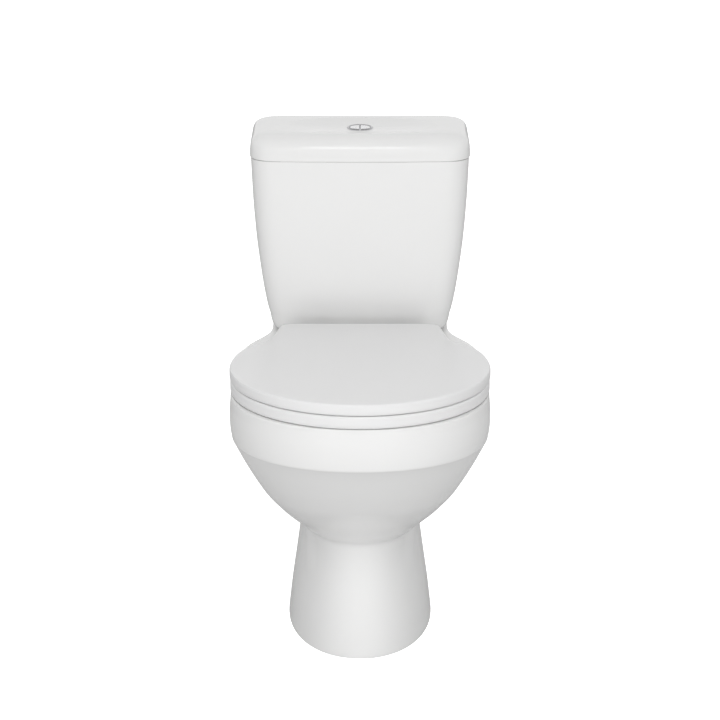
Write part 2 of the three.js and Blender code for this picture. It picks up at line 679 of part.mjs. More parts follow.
piece(
  "flush_valve_cage",
  cut(
    joined(
      ring(0, VALVE_Y, CAGE.foot, CAGE.foot + 5, 38, TAIL.outer + FIT),
      block(-9, 9, VALVE_Y - CAGE.plateY - 4, VALVE_Y - CAGE.plateY, CAGE.foot, CAGE.bridge + 3),
      block(-9, 9, VALVE_Y + CAGE.plateY, VALVE_Y + CAGE.plateY + 4, CAGE.foot, CAGE.bridge + 3),
      block(-6, 6, VALVE_Y - CAGE.plateY - 1, VALVE_Y + CAGE.plateY + 1, CAGE.bridge, CAGE.bridge + 3),
      ...cheeks.map(([y0, y1]) => block(-4, 4, y0, y1, CAGE.bridge + 1, LEVER.z + 5)),
    ),
    barY(0, LEVER.fullY - 6, LEVER.halfY + 6, LEVER.z, AXLE_RADIUS + FIT, 12),
  ),
  whitePlastic,
);
piece("lever_axle", barY(0, LEVER.fullY - 6, LEVER.halfY + 6, LEVER.z, AXLE_RADIUS, 12), steel);
for (const [name, side, y] of [
  ["full_flush_lever", 1, LEVER.fullY],
  ["half_flush_lever", -1, LEVER.halfY],
]) {
  const [x0, x1] = [side * LEVER.rod, -side * LEVER.lift].sort((p, q) => p - q);
  piece(
    name,
    cut(
      block(x0, x1, y - 2, y + 2, LEVER.z - LEVER.half, LEVER.z + LEVER.half),
      barY(0, y - 3, y + 3, LEVER.z, AXLE_RADIUS + FIT, 12),
    ),
    greyPlastic,
  );
}

// ---- Dual flush buttons: a housing through the lid holds two half-round buttons on springs ----
const HOUSING = { outer: BUTTON_RADIUS + 1.1, inner: BUTTON_RADIUS - 0.9, foot: 668, floor: 678 };
const BUTTON = { radius: BUTTON_RADIUS - 1.3, under: 690, top: TOTAL_HEIGHT - 2.4 };
const rods = [
  ["full", 1, LEVER.fullY],
  ["half", -1, LEVER.halfY],
];
const SPRING = { turns: 2, radius: 3.4, wire: 0.5, steps: 8 };
const springTop = BUTTON.under - FIT - SPRING.wire;
const springRun = BUTTON.under - HOUSING.floor - BUTTON_TRAVEL - 2 * FIT - 2 * SPRING.wire;
// Middle line of a spring wound around a push rod.
function springPath(x, y) {
  const points = [];
  const count = SPRING.turns * SPRING.steps;
  for (let i = 0; i <= count; i++) {
    const angle = (2 * Math.PI * i) / SPRING.steps;
    const z = springTop - (springRun * i) / count;
    points.push([x + SPRING.radius * Math.cos(angle), y + SPRING.radius * Math.sin(angle), z]);
  }
  return points;
}
piece(
  "button_housing",
  cut(
    joined(
      post(0, BUTTON_Y, HOUSING.foot, DISH_FLOOR, HOUSING.outer),
      post(0, BUTTON_Y, DISH_FLOOR - 0.2, DISH_FLOOR + 3.4, 20, 18.6, 24),
    ),
    post(0, BUTTON_Y, HOUSING.floor, TOTAL_HEIGHT, HOUSING.inner, HOUSING.inner, 24),
    post(0, BUTTON_Y, HOUSING.foot - 1, HOUSING.floor - 2, HOUSING.inner - 1),
    ...rods.map(([, side, y]) => post(side * ROD_X, y, HOUSING.foot, HOUSING.floor + 1, 3.2, 3.2, 12)),
  ),
  chrome,
);
piece("button_nut", ring(0, BUTTON_Y, 688, 696 - FIT, 26, HOUSING.outer + FIT, 8, SIDES), whitePlastic);
for (const [name, side, y] of rods) {
  const [x0, x1] = [side * 0.4, side * 20].sort((p, q) => p - q);
  const disc = joined(
    post(0, BUTTON_Y, BUTTON.top - 4, BUTTON.top - 1, BUTTON.radius, BUTTON.radius, 24),
    post(0, BUTTON_Y, BUTTON.top - 1, BUTTON.top, BUTTON.radius, BUTTON.radius - 1.2, 24),
    ring(0, BUTTON_Y, BUTTON.under + 2, BUTTON.top - 3, BUTTON.radius, BUTTON.radius - 1.5, 24),
  );
  const half = disc.intersect(block(x0, x1, BUTTON_Y - 20, BUTTON_Y + 20, 600, 720));
  piece(`${name}_flush_button`, half, chrome);
  piece(
    `${name}_push_rod`,
    joined(
      post(side * ROD_X, y, 616, BUTTON.top - 4 - FIT, 2.5, 2.5, 12),
      post(side * ROD_X, y, LEVER.z + LEVER.half + 1.6, 618, 1.5, 1.5, 12),
      post(side * ROD_X, y, BUTTON.under, BUTTON.under + 2, 4, 4, 12),
    ),
    whitePlastic,
  );
  const spring = along(springPath(side * ROD_X, y), SPRING.wire, SPRING.turns * SPRING.steps, 4);
  piece(`${name}_button_spring`, spring, steel);
}

// ---- Fill valve on the left, a plug in the spare supply hole on the right ----
const fillX = -INLET.x;
const FILL = { tail: 10.3, bore: 5, end: 352, column: 9, capLow: 598, capHigh: 614 };
piece(
  "fill_valve_body",
  cut(
    joined(
      post(fillX, INLET.y, FILL.end, CISTERN_FLOOR + 4, FILL.tail),
      post(fillX, INLET.y, CISTERN_FLOOR + 3 + FIT, CISTERN_FLOOR + 8, 17),
      post(fillX, INLET.y, CISTERN_FLOOR + 7, FILL.capLow - FIT, FILL.column),
    ),
    post(fillX, INLET.y, FILL.end - 1, FILL.capLow - 8, FILL.bore, FILL.bore, 12),
  ),
  whitePlastic,
);
piece(
  "fill_valve_washer",
  ring(fillX, INLET.y, CISTERN_FLOOR + FIT, CISTERN_FLOOR + 3, 17, FILL.tail + FIT),
  rubber,
);
piece(
  "fill_valve_back_nut",
  ring(fillX, INLET.y, 395, CISTERN_UNDER - FIT, 18, FILL.tail + FIT, 8, SIDES),
  whitePlastic,
);
const ARM = { y: 250, pivotX: fillX - 14, z: 607, half: 2, end: fillX + 26, linkX: fillX + 22 };
piece(
  "fill_valve_cap",
  joined(
    post(fillX, INLET.y, FILL.capLow, FILL.capHigh, 18, 16),
    block(ARM.pivotX - 4, ARM.pivotX + 4, ARM.y + 2.3, INLET.y - 8, ARM.z - 5, ARM.z + 5),
    barY(ARM.pivotX, ARM.y - 3, ARM.y + 3, ARM.z, AXLE_RADIUS, 12),
  ),
  greyPlastic,
);
piece(
  "fill_valve_arm",
  cut(
    block(ARM.pivotX - 5, ARM.end, ARM.y - 1.8, ARM.y + 1.8, ARM.z - ARM.half, ARM.z + ARM.half),
    barY(ARM.pivotX, ARM.y - 4, ARM.y + 4, ARM.z, AXLE_RADIUS + 0.2, 12),
  ),
  greyPlastic,
);
const FLOAT = { low: 500, high: 552, outer: 22 };
piece(
  "fill_valve_float",
  joined(
    ring(fillX, INLET.y, FLOAT.low, FLOAT.high, FLOAT.outer, FILL.column + 1),
    block(ARM.linkX - 4, ARM.linkX + 4, ARM.y - 3, INLET.y - 8, FLOAT.high - 6, FLOAT.high),
    post(ARM.linkX, ARM.y, FLOAT.high - 3, ARM.z - ARM.half - 1, 1.5, 1.5, 12),
  ),
  whitePlastic,
);
piece(
  "supply_hole_plug",
  joined(
    post(INLET.x, INLET.y, 400, CISTERN_FLOOR + 1, FILL.tail),
    post(INLET.x, INLET.y, CISTERN_FLOOR + FIT, CISTERN_FLOOR + 4, 15),
  ),
  whitePlastic,
);

// ---- Screws to the floor and to the wall ----
for (const [name, side] of sides) {
  const [x, y] = [side * FOOT_SCREW.x, FOOT_SCREW.y];
  const screwHead = post(x, y, FOOT_SCREW.ledge + FIT, FOOT_SCREW.ledge + 4, 6.5);
  piece(`floor_screw_${name}`, joined(post(x, y, 0, FOOT_SCREW.ledge + 1, 3), screwHead), steel);
  piece(
    `floor_screw_cap_${name}`,
    cut(
      post(x, y, FOOT_SCREW.ledge + FIT, FOOT_SCREW.ledge + 10, 10, 8),
      post(x, y, FOOT_SCREW.ledge - 1, FOOT_SCREW.ledge + 5, 7.5),
    ),
    whitePlastic,
  );
  piece(
    `wall_screw_${name}`,
    joined(
      barY(side * WALL_SCREW.x, WALL - CISTERN_WALL - 2, WALL, WALL_SCREW.z, 3, 12),
      barY(side * WALL_SCREW.x, WALL - CISTERN_WALL - 4, WALL - CISTERN_WALL - FIT, WALL_SCREW.z, 7, 16),
    ),
    steel,
  );
}

export default toilet;
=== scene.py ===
"""Close coupled toilet: glazed china pan and cistern, moulded seat and lid, chromed hinges and buttons,
and the flush and fill fittings, built around the toilet's frame."""

import json
import math

import bmesh
import bpy
import numpy as np
from mathutils import Matrix, Vector


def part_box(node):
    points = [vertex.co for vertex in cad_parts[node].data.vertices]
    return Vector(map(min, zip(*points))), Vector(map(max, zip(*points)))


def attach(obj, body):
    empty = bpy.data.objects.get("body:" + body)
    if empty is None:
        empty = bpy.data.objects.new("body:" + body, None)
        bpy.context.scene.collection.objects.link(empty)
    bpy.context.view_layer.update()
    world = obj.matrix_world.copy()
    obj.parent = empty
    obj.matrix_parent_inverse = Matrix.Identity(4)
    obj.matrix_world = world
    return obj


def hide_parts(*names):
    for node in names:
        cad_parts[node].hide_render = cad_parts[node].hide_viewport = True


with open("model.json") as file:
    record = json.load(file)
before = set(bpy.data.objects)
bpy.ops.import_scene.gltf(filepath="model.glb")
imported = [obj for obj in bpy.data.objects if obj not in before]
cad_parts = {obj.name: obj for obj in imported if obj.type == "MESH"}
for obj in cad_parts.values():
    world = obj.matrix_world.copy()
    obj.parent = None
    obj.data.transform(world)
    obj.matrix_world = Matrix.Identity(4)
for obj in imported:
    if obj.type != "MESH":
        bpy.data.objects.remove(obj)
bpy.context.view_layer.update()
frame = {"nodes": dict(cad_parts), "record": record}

bl_info = {
    "name": "Close Coupled Toilet",
    "version": (1, 0, 0),
    "blender": (4, 5, 0),
    "location": "3D View > Sidebar > Toilet",
    "description": "China, seat, hinges, buttons and fittings of a close coupled toilet",
    "category": "Add Mesh",
}

MM = 0.001
SIDES = (("left", -1), ("right", 1))


def box_mm(node):
    """Lowest and highest corner of a frame node, in millimetres."""
    low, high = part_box(node)
    return low / MM, high / MM


def middle(node):
    """Middle of a frame node's box, in millimetres."""
    low, high = box_mm(node)
    return (low + high) / 2


RIM_TOP = box_mm("pan")[1].z
WALL = box_mm("cistern")[1].y
CISTERN_UNDER, CISTERN_TOP = box_mm("cistern")[0].z, box_mm("cistern")[1].z
TOTAL_HEIGHT = box_mm("cistern_lid")[1].z
SEAT_UNDER, SEAT_TOP = RIM_TOP + 0.6, box_mm("lid_buffer_left")[0].z - 0.3
LID_UNDER, LID_TOP = SEAT_TOP + 0.6, box_mm("seat_lid")[1].z
HINGE_Y, HINGE_Z = middle("hinge_pin_right").y, middle("hinge_pin_right").z
HINGE_X = middle("hinge_pin_right").x
VALVE_Y = middle("base_washer").y
BOLT_X = middle("coupling_bolt_right").x
BUTTON_Y = middle("button_nut").y
SUPPLY_X, SUPPLY_Y = middle("supply_hole_plug").x, middle("supply_hole_plug").y
FLOOR_SCREW_X, FLOOR_SCREW_Y = middle("floor_screw_right").x, middle("floor_screw_right").y
WALL_SCREW_X, WALL_SCREW_Z = middle("wall_screw_right").x, middle("wall_screw_right").z


# ---- Settings ----
def length(name, text, value):
    """Length setting, given in millimetres and kept in metres."""
    return bpy.props.FloatProperty(
        name=name, description=text, default=value * MM, min=0.0, unit="LENGTH", subtype="DISTANCE"
    )


def colour(name, text, value):
    return bpy.props.FloatVectorProperty(
        name=name, description=text, default=value, size=3, min=0.0, max=1.0, subtype="COLOR"
    )


class ToiletPanSettings(bpy.types.PropertyGroup):
    wall: length("Wall", "Thickness of the pan's china", 11)
    foot_edge: length("Foot edge", "Softness of the edge that meets the floor", 1.2)
    crease: length("Crease", "Softness of the crease between bowl and pedestal", 3.2)
    band_edge: length("Band edge", "Softness of the lower corner of the rim's band", 11)
    rim_edge: length("Rim edge", "Softness of the rim's outer edge", 1.8)


class ToiletCisternSettings(bpy.types.PropertyGroup):
    corner: length("Corner", "Radius of the upright front corners", 30)
    bow: length("Bow", "How far the front is bowed forward", 7)
    lower_edge: length("Lower edge", "Softness of the cistern's lower edge", 5)
    dish_depth: length("Dish depth", "Depth of the dish around the buttons", 5)
    dish_width: length("Dish width", "Half of the dish's width", 117)
    dish_reach: length("Dish reach", "Half of the dish's front to back length", 60)


class ToiletSeatSettings(bpy.types.PropertyGroup):
    neck: length("Neck", "Half of the width of the straight rear edge", 118)
    edge: length("Edge", "Softness of the seat's and the lid's edges", 1.5)
    stock: length("Stock", "Wall of the moulded seat and lid", 4)
    crown: length("Crown", "Rise of the lid's top towards its middle", 0.3)


class ToiletFinishSettings(bpy.types.PropertyGroup):
    china: colour("China", "Glaze over the china", (0.86, 0.86, 0.855))
    bisque: colour("Bisque", "Bare fired china under the foot", (0.74, 0.71, 0.66))
    seat_plastic: colour("Seat", "Moulded seat and lid", (0.84, 0.84, 0.84))
    # The collar's plate colour is set darker than the satin plate so that the ring draws a dark outline
    # around the buttons: painted dark reflection. The satin plate of the buttons and hinge posts is set light
    # for bright button faces: painted bright reflection. The two finishes also differ in gloss, and that
    # difference is real.
    chrome: colour("Chrome", "Polished plate of the collar around the buttons", (0.5, 0.5, 0.51))
    satin: colour("Satin chrome", "Plate of buttons and hinge posts", (0.86, 0.86, 0.87))
    white_plastic: colour("White plastic", "Moulded fittings", (0.72, 0.72, 0.70))
    grey_plastic: colour("Grey plastic", "Levers and valve cap", (0.30, 0.32, 0.33))
    blue_plastic: colour("Blue plastic", "Flush valve tube", (0.05, 0.16, 0.42))
    rubber: colour("Rubber", "Seals and washers", (0.025, 0.025, 0.028))
    buffer: colour("Buffer", "Soft pads under seat and lid", (0.78, 0.78, 0.77))
    steel: colour("Steel", "Zinc plated bolts and screws", (0.50, 0.51, 0.53))


def power(name, text, value):
    return bpy.props.FloatProperty(name=name, description=text, default=value, min=0.0, unit="POWER")


def strength(name, text, value):
    return bpy.props.FloatProperty(name=name, description=text, default=value, min=0.0)


class ToiletStageSettings(bpy.types.PropertyGroup):
    lens: bpy.props.FloatProperty(
        name="Lens", description="Focal length on a 36 mm wide sensor", default=150.0, min=10.0, unit="CAMERA"
    )
    pitch: bpy.props.FloatProperty(
        name="Pitch",
        description="How far the camera looks down",
        default=math.radians(16),
        unit="ROTATION",
        subtype="ANGLE",
    )
    camera_back: length("Camera distance", "How far the camera stands in front of the toilet's middle", 4177)
    camera_height: length("Camera height", "Height of the camera over the floor", 1610)
    key_power: power("Key light", "Power of the high front light", 43.0)
    low_power: power("Low lights", "Power of each of the two low front lights", 26.0)
    glint_power: power("Glint", "Power of the small light that draws the highlights", 4.5)
    side_glint_power: power("Side glints", "Power of each of the two small lights at the sides", 0.5)
    foot_power: power("Foot light", "Power of the soft spot on the pedestal", 20.0)
    sky: strength("Sky", "Strength of the even light in front", 0.41)
    backdrop: strength("Backdrop", "Strength of the light behind", 0.9)


# ---- Outlines, in millimetres ----
def even_closed(points, count, start=0.0):
    """Closed outline with its points spread evenly along it."""
    loop = np.vstack([points, points[:1]])
    run = np.concatenate([[0], np.cumsum(np.linalg.norm(np.diff(loop, axis=0), axis=1))])
    places = (np.arange(count) / count + start) % 1.0 * run[-1]
    return np.stack([np.interp(places, run, loop[:, i]) for i in (0, 1)], axis=1)


def softened(points, spread):
    """Closed outline whose corners are eased over a spread given in points."""
    offset = np.arange(-int(3 * spread), int(3 * spread) + 1)
    weight = np.exp(-(offset**2) / (2 * spread**2))
    weight /= weight.sum()
    return sum(w * np.roll(points, k, axis=0) for w, k in zip(weight, offset))


def inward(points, inset):
    """Outline moved in by an inset, square to itself; the outline runs anticlockwise."""
    along = np.roll(points, -1, axis=0) - np.roll(points, 1, axis=0)
    normal = np.stack([along[:, 1], -along[:, 0]], axis=1)
    normal /= np.linalg.norm(normal, axis=1)[:, None]
    return points - normal * inset


def egg(half, front, widest, rear, front_power=2.0, rear_power=2.0, count=720):
    """Egg-shaped outline around its widest line; a power above 2 makes an end squarer."""
    angle = 2 * math.pi * np.arange(count) / count
    ahead = np.sin(angle) < 0
    power = 2 / np.where(ahead, front_power, rear_power)
    reach = np.where(ahead, widest - front, rear - widest)
    x = half * np.sign(np.cos(angle)) * np.abs(np.cos(angle)) ** power
    y = widest + reach * np.sign(np.sin(angle)) * np.abs(np.sin(angle)) ** power
    return np.stack([x, y], axis=1)


def slab(half, front, back, front_radius, back_radius, bow=0.0, count=720):
    """Rectangle with round corners and a front that bows forward in the middle."""
    corners = (
        (half - front_radius, front + front_radius, front_radius, -math.pi / 2),
        (half - back_radius, back - back_radius, back_radius, 0),
        (-half + back_radius, back - back_radius, back_radius, math.pi / 2),
        (-half + front_radius, front + front_radius, front_radius, math.pi),
    )
    points = []
    for x, y, radius, start in corners:
        turn = start + np.linspace(0, math.pi / 2, 24)
        points += zip(x + radius * np.cos(turn), y + radius * np.sin(turn))
    outline = even_closed(np.array(points), count)
    share = np.clip((back - outline[:, 1]) / (back - front), 0, 1)
    outline[:, 1] += bow * share * (outline[:, 0] / half) ** 2
    return outline


def reach(outline, centre_y, angles):
    """Distance from a point on the middle line to a star-shaped outline, in each direction."""
    x, y = outline[:, 0], outline[:, 1] - centre_y
    turn = np.arctan2(y, x)
    order = np.argsort(turn)
    return np.interp(angles, turn[order], np.hypot(x, y)[order], period=2 * math.pi)


def soft_max(a, b, ease):
    """The greater of two lengths, eased where they meet."""
    overlap = np.maximum(ease - np.abs(a - b), 0) / ease
    return np.maximum(a, b) + overlap**2 * ease / 4


def level(outline, z):
    """Outline as a row of points at one height."""
    return np.column_stack([outline, np.full(len(outline), z)])


def around(away, turn, centre_y, z):
    """Row of points at one height, at distances in given directions from an upright line."""
    return level(np.stack([away * np.cos(turn), centre_y + away * np.sin(turn)], axis=1), z)


def pole(x, y, z, count):
    """Row of points that all lie in one place, which closes a loft."""
    return np.tile(np.array([x, y, z], float), (count, 1))


# ---- Lofts and meshes ----
def loft(rows, softness, spacing, ring=False):
    """Rows of points resampled evenly from row to row, with each corner eased by its row's softness."""
    points = np.array(rows)
    softness = np.array(softness, float)
    if ring:
        points = np.vstack([points, points[:1]])
        softness = np.append(softness, softness[0])
    gaps = np.linalg.norm(np.diff(points, axis=0), axis=2).mean(axis=1)
    run = np.concatenate([[0], np.cumsum(gaps)])
    count = max(int(round(run[-1] / spacing)), 4)
    places = np.linspace(0, run[-1], count + 1)
    at = np.clip(np.searchsorted(run, places, side="right") - 1, 0, len(gaps) - 1)
    share = ((places - run[at]) / gaps[at])[:, None, None]
    even = points[at] * (1 - share) + points[at + 1] * share
    spread = np.maximum(np.interp(places, run, softness), 0.05)
    step = run[-1] / count
    pad = min(count, int(4 * spread.max() / step) + 1)
    if ring:
        before, after = even[-pad - 1 : -1], even[1 : pad + 1]
    else:
        before = 2 * even[0] - even[pad:0:-1]
        after = 2 * even[-1] - even[-2 : -pad - 2 : -1]
    padded = np.concatenate([before, even, after])
    padded_places = (np.arange(len(padded)) - pad) * step
    weight = np.exp(-((places[:, None] - padded_places) ** 2) / (2 * spread[:, None] ** 2))
    weight /= weight.sum(axis=1)[:, None]
    smooth = np.tensordot(weight, padded, axes=1)
    return smooth[:-1] if ring else smooth


def grid_mesh(name, grid, ring=False):
    """Closed mesh from a grid of points in millimetres, closed around its columns.
    A first or last row that lies in one place becomes a pole, and any other is closed by a flat face."""
    rows, columns = grid.shape[:2]
    points = [tuple(p) for p in grid.reshape(-1, 3) * MM]
    faces = []
    for i in range(rows if ring else rows - 1):
        a, b = i * columns, (i + 1) % rows * columns
        for j in range(columns):
            k = (j + 1) % columns
            faces.append((a + j, a + k, b + k, b + j))
    if not ring:
        faces.append(tuple(reversed(range(columns))))
        faces.append(tuple(range((rows - 1) * columns, rows * columns)))
    mesh = bpy.data.meshes.new(name)
    mesh.from_pydata(points, [], faces)
    return cleaned(mesh)


def cleaned(mesh):
    """Doubles merged, empty faces dropped and normals turned outward."""
    shape = bmesh.new()
    shape.from_mesh(mesh)
    bmesh.ops.remove_doubles(shape, verts=shape.verts, dist=2e-6)
    bmesh.ops.dissolve_degenerate(shape, edges=shape.edges, dist=1e-6)
    bmesh.ops.recalc_face_normals(shape, faces=shape.faces)
    shape.to_mesh(mesh)
    shape.free()
    return mesh


def lathe(name, profile, centre=(0, 0, 0), axis="Z", softness=0.0, spacing=0.6, sides=96):
    """Solid turned from a profile of (radius, height) around an axis through a centre."""
    turn = 2 * math.pi * np.arange(sides) / sides
    rows = []
    for radius, height in profile:
        across, ahead = radius * np.cos(turn), radius * np.sin(turn)
        up = np.full(sides, float(height))
        order = {"X": (up, across, ahead), "Y": (ahead, up, across), "Z": (across, ahead, up)}[axis]
        rows.append(np.stack(order, axis=1) + np.array(centre))
    grid = loft(rows, [softness] * len(rows), spacing) if softness else np.array(rows)
    return grid_mesh(name, grid)


def turned_ring(name, profile, centre_y, sides, spacing):
    """Ring turned from a closed profile of (radius, height) around an upright axis."""
    turn = 2 * math.pi * np.arange(sides) / sides
    rows = [around(radius, turn, centre_y, height) for radius, height in profile]
    return grid_mesh(name, loft(rows, [0.35] * len(rows), spacing, ring=True), ring=True)


def block(name, x0, x1, y0, y1, z0, z1, edge=0.0):
    """Box between two corners, with round edges."""
    shape = bmesh.new()
    bmesh.ops.create_cube(shape, size=1.0)
    size, centre = Vector((x1 - x0, y1 - y0, z1 - z0)) * MM, Vector((x0 + x1, y0 + y1, z0 + z1)) * MM / 2
    placed = Matrix.Translation(centre) @ Matrix.Diagonal((*size, 1))
    bmesh.ops.transform(shape, matrix=placed, verts=shape.verts)
    if edge:
        bmesh.ops.bevel(shape, geom=shape.edges[:], offset=edge * MM, segments=4, profile=0.5, affect="EDGES")
    mesh = bpy.data.meshes.new(name)
    shape.to_mesh(mesh)
    shape.free()
    return mesh


def prism_x(name, outline, x0, x1, edge=0.0):
    """Outline of (y, z) points extruded along X, with round edges."""
    outline = np.array(outline)

    def section(x, points):
        return np.column_stack([np.full(len(outline), x), points])

    centre = np.tile(outline.mean(axis=0), (len(outline), 1))
    ends = [(x0, edge), (x0 + edge, 0.0), (x1 - edge, 0.0), (x1, edge)]
    rows = [section(x, inward(outline, inset)) for x, inset in ends]
    return grid_mesh(name, np.array([section(x0, centre), *rows, section(x1, centre)]))


TUBE_EASE = 11  # softness of a tube's bends


def tube(name, path, radius, spacing=3.0, sides=64):
    """Round solid along a path that lies in the middle plane, given as (y, z) points."""
    path = np.array(path, float)
    run = np.concatenate([[0], np.cumsum(np.linalg.norm(np.diff(path, axis=0), axis=1))])
    places = np.arange(0, run[-1] + spacing, spacing)
    even = np.stack([np.interp(places, run, path[:, i]) for i in (0, 1)], axis=1)
    centres = np.column_stack([np.zeros(len(even)), even])[:, None]
    rows = loft(centres, [TUBE_EASE] * len(even), spacing)[:, 0, 1:]
    along = np.gradient(rows, axis=0)
    along /= np.linalg.norm(along, axis=1)[:, None]
    turn = 2 * math.pi * np.arange(sides) / sides
    grid = []
    for (y, z), (dy, dz) in zip(rows, along):
        across, up = radius * np.cos(turn), radius * np.sin(turn)
        grid.append(np.stack([across, y - dz * up, z + dy * up], axis=1))
    return grid_mesh(name, np.array(grid))


def combine(target, tools, operation, solver="MANIFOLD"):
    """Joins tools to a mesh or cuts them from it; the faces they leave keep their own materials.
    The exact solver leaves level glossy faces as they are."""
    holder = bpy.data.objects.new("work_piece", target)
    bpy.context.scene.collection.objects.link(holder)
    for tool in tools:
        cutter = bpy.data.objects.new("work_tool", tool)
        bpy.context.scene.collection.objects.link(cutter)
        step = holder.modifiers.new("Step", "BOOLEAN")
        step.operation, step.solver, step.object = operation, solver, cutter
        step.material_mode = "TRANSFER"
        bpy.context.view_layer.update()
        graph = bpy.context.evaluated_depsgraph_get()
        made = bpy.data.meshes.new_from_object(holder.evaluated_get(graph))
        if not len(made.polygons):
            raise RuntimeError(f"{target.name}: {operation} with {tool.name} left nothing")
        holder.modifiers.clear()
        made.name = target.name
        holder.data = made
        bpy.data.objects.remove(cutter)
    mesh = holder.data
    bpy.data.objects.remove(holder)
    return mesh


def joined(target, *tools, **how):
    return combine(target, tools, "UNION", **how)


def cut(target, *tools, **how):
    return combine(target, tools, "DIFFERENCE", **how)


def finished(name, mesh, finish, body, replaces, crisp=40):
    """Object of a finished mesh: smooth but for edges sharper than an angle, riding on its body."""
    mesh.name = name
    if not len(mesh.materials) or mesh.materials[0] is None:
        mesh.materials.clear()
        mesh.materials.append(finish)
    mesh.shade_smooth()
    mesh.set_sharp_from_angle(angle=math.radians(crisp))
    piece = bpy.data.objects.new(name, mesh)
    bpy.context.scene.collection.objects.link(piece)
    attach(piece, body)
    for node in replaces:
        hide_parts(node)
    return piece


# ---- Shader groups ----
def new_group(name, inputs, outputs):
    """Shader node group with named inputs (name, socket type, default) and outputs."""
    group = bpy.data.node_groups.new(name, "ShaderNodeTree")
    for socket, kind, value in inputs:
        made = group.interface.new_socket(socket, in_out="INPUT", socket_type=kind)
        made.default_value = value
    for socket, kind in outputs:
        group.interface.new_socket(socket, in_out="OUTPUT", socket_type=kind)
    return group, group.nodes.new("NodeGroupInput"), group.nodes.new("NodeGroupOutput")


def add(tree, kind, settings=None, **inputs):
    """Node with its settings and inputs; an input may be a value or another node's output."""
    node = tree.nodes.new(kind)
    for key, value in (settings or {}).items():
        setattr(node, key, value)
    for key, value in inputs.items():
        socket = node.inputs[int(key[1:]) if key[0] == "_" else key.replace("_", " ")]
        if isinstance(value, bpy.types.NodeSocket):
            tree.links.new(value, socket)
        else:
            socket.default_value = value
    return node


def maths(tree, operation, a, b):
    return add(tree, "ShaderNodeMath", {"operation": operation}, _0=a, _1=b).outputs[0]


def remap(tree, value, low, high, to_low, to_high):
    """A value stretched from one range to another and held inside it."""
    limits = {"From_Min": low, "From_Max": high, "To_Min": to_low, "To_Max": to_high}
    return add(tree, "ShaderNodeMapRange", None, Value=value, **limits).outputs[0]


def noise(tree, vector, scale, detail):
    return add(tree, "ShaderNodeTexNoise", None, Vector=vector, Scale=scale, Detail=detail).outputs[0]


def mottle_group():
    """Slow unevenness of a surface: a factor for its colour and a mask for its gloss."""
    group, given, result = new_group(
        "Mottle",
        [
            ("Vector", "NodeSocketVector", (0, 0, 0)),
            ("Scale", "NodeSocketFloat", 9.0),
            ("Amount", "NodeSocketFloat", 0.02),
        ],
        [("Factor", "NodeSocketFloat"), ("Mask", "NodeSocketFloat")],
    )
    slow = noise(group, given.outputs[0], given.outputs[1], 3.0)
    low = maths(group, "SUBTRACT", 1.0, given.outputs[2])
    spread = add(group, "ShaderNodeMapRange", None, Value=slow, From_Min=0.15, From_Max=0.85)
    group.links.new(low, spread.inputs["To Min"])
    group.links.new(spread.outputs[0], result.inputs["Factor"])
    group.links.new(remap(group, slow, 0.15, 0.85, 0.0, 1.0), result.inputs["Mask"])
    return group


def skin_group():
    """Fine relief of a surface: a long soft ripple with a fine grain over it."""
    group, given, result = new_group(
        "Fine Relief",
        [
            ("Vector", "NodeSocketVector", (0, 0, 0)),
            ("Ripple Scale", "NodeSocketFloat", 30.0),
            ("Grain Scale", "NodeSocketFloat", 900.0),
            ("Grain Share", "NodeSocketFloat", 0.2),
        ],
        [("Height", "NodeSocketFloat")],
    )
    ripple = noise(group, given.outputs[0], given.outputs[1], 1.0)
    grain = noise(group, given.outputs[0], given.outputs[2], 2.0)
    share = maths(group, "MULTIPLY", grain, given.outputs[3])
    group.links.new(maths(group, "ADD", ripple, share), result.inputs["Height"])
    return group


def wear_group():
    """Handling marks: thin short scratches and rubbed patches, as a mask."""
    group, given, result = new_group(
        "Handling Marks",
        [
            ("Vector", "NodeSocketVector", (0, 0, 0)),
            ("Scale", "NodeSocketFloat", 160.0),
            ("Stretch", "NodeSocketFloat", 9.0),
        ],
        [("Marks", "NodeSocketFloat"), ("Patches", "NodeSocketFloat")],
    )
    stretch = add(group, "ShaderNodeCombineXYZ", None, X=1.0, Z=1.0)
    group.links.new(given.outputs[2], stretch.inputs["Y"])
    long = add(group, "ShaderNodeVectorMath", {"operation": "MULTIPLY"}, _0=given.outputs[0])
    group.links.new(stretch.outputs[0], long.inputs[1])
    scratch = noise(group, long.outputs[0], given.outputs[1], 4.0)
    patch = noise(group, given.outputs[0], 14.0, 2.0)
    group.links.new(remap(group, scratch, 0.45, 0.75, 0.0, 1.0), result.inputs["Marks"])
    group.links.new(remap(group, patch, 0.45, 0.7, 0.0, 1.0), result.inputs["Patches"])
    return group


# ---- Finishes ----
def group_node(tree, group, vector, **inputs):
    node = tree.nodes.new("ShaderNodeGroup")
    node.node_tree = group
    tree.links.new(vector, node.inputs["Vector"])
    for key, value in inputs.items():
        node.inputs[key.replace("_", " ")].default_value = value
    return node


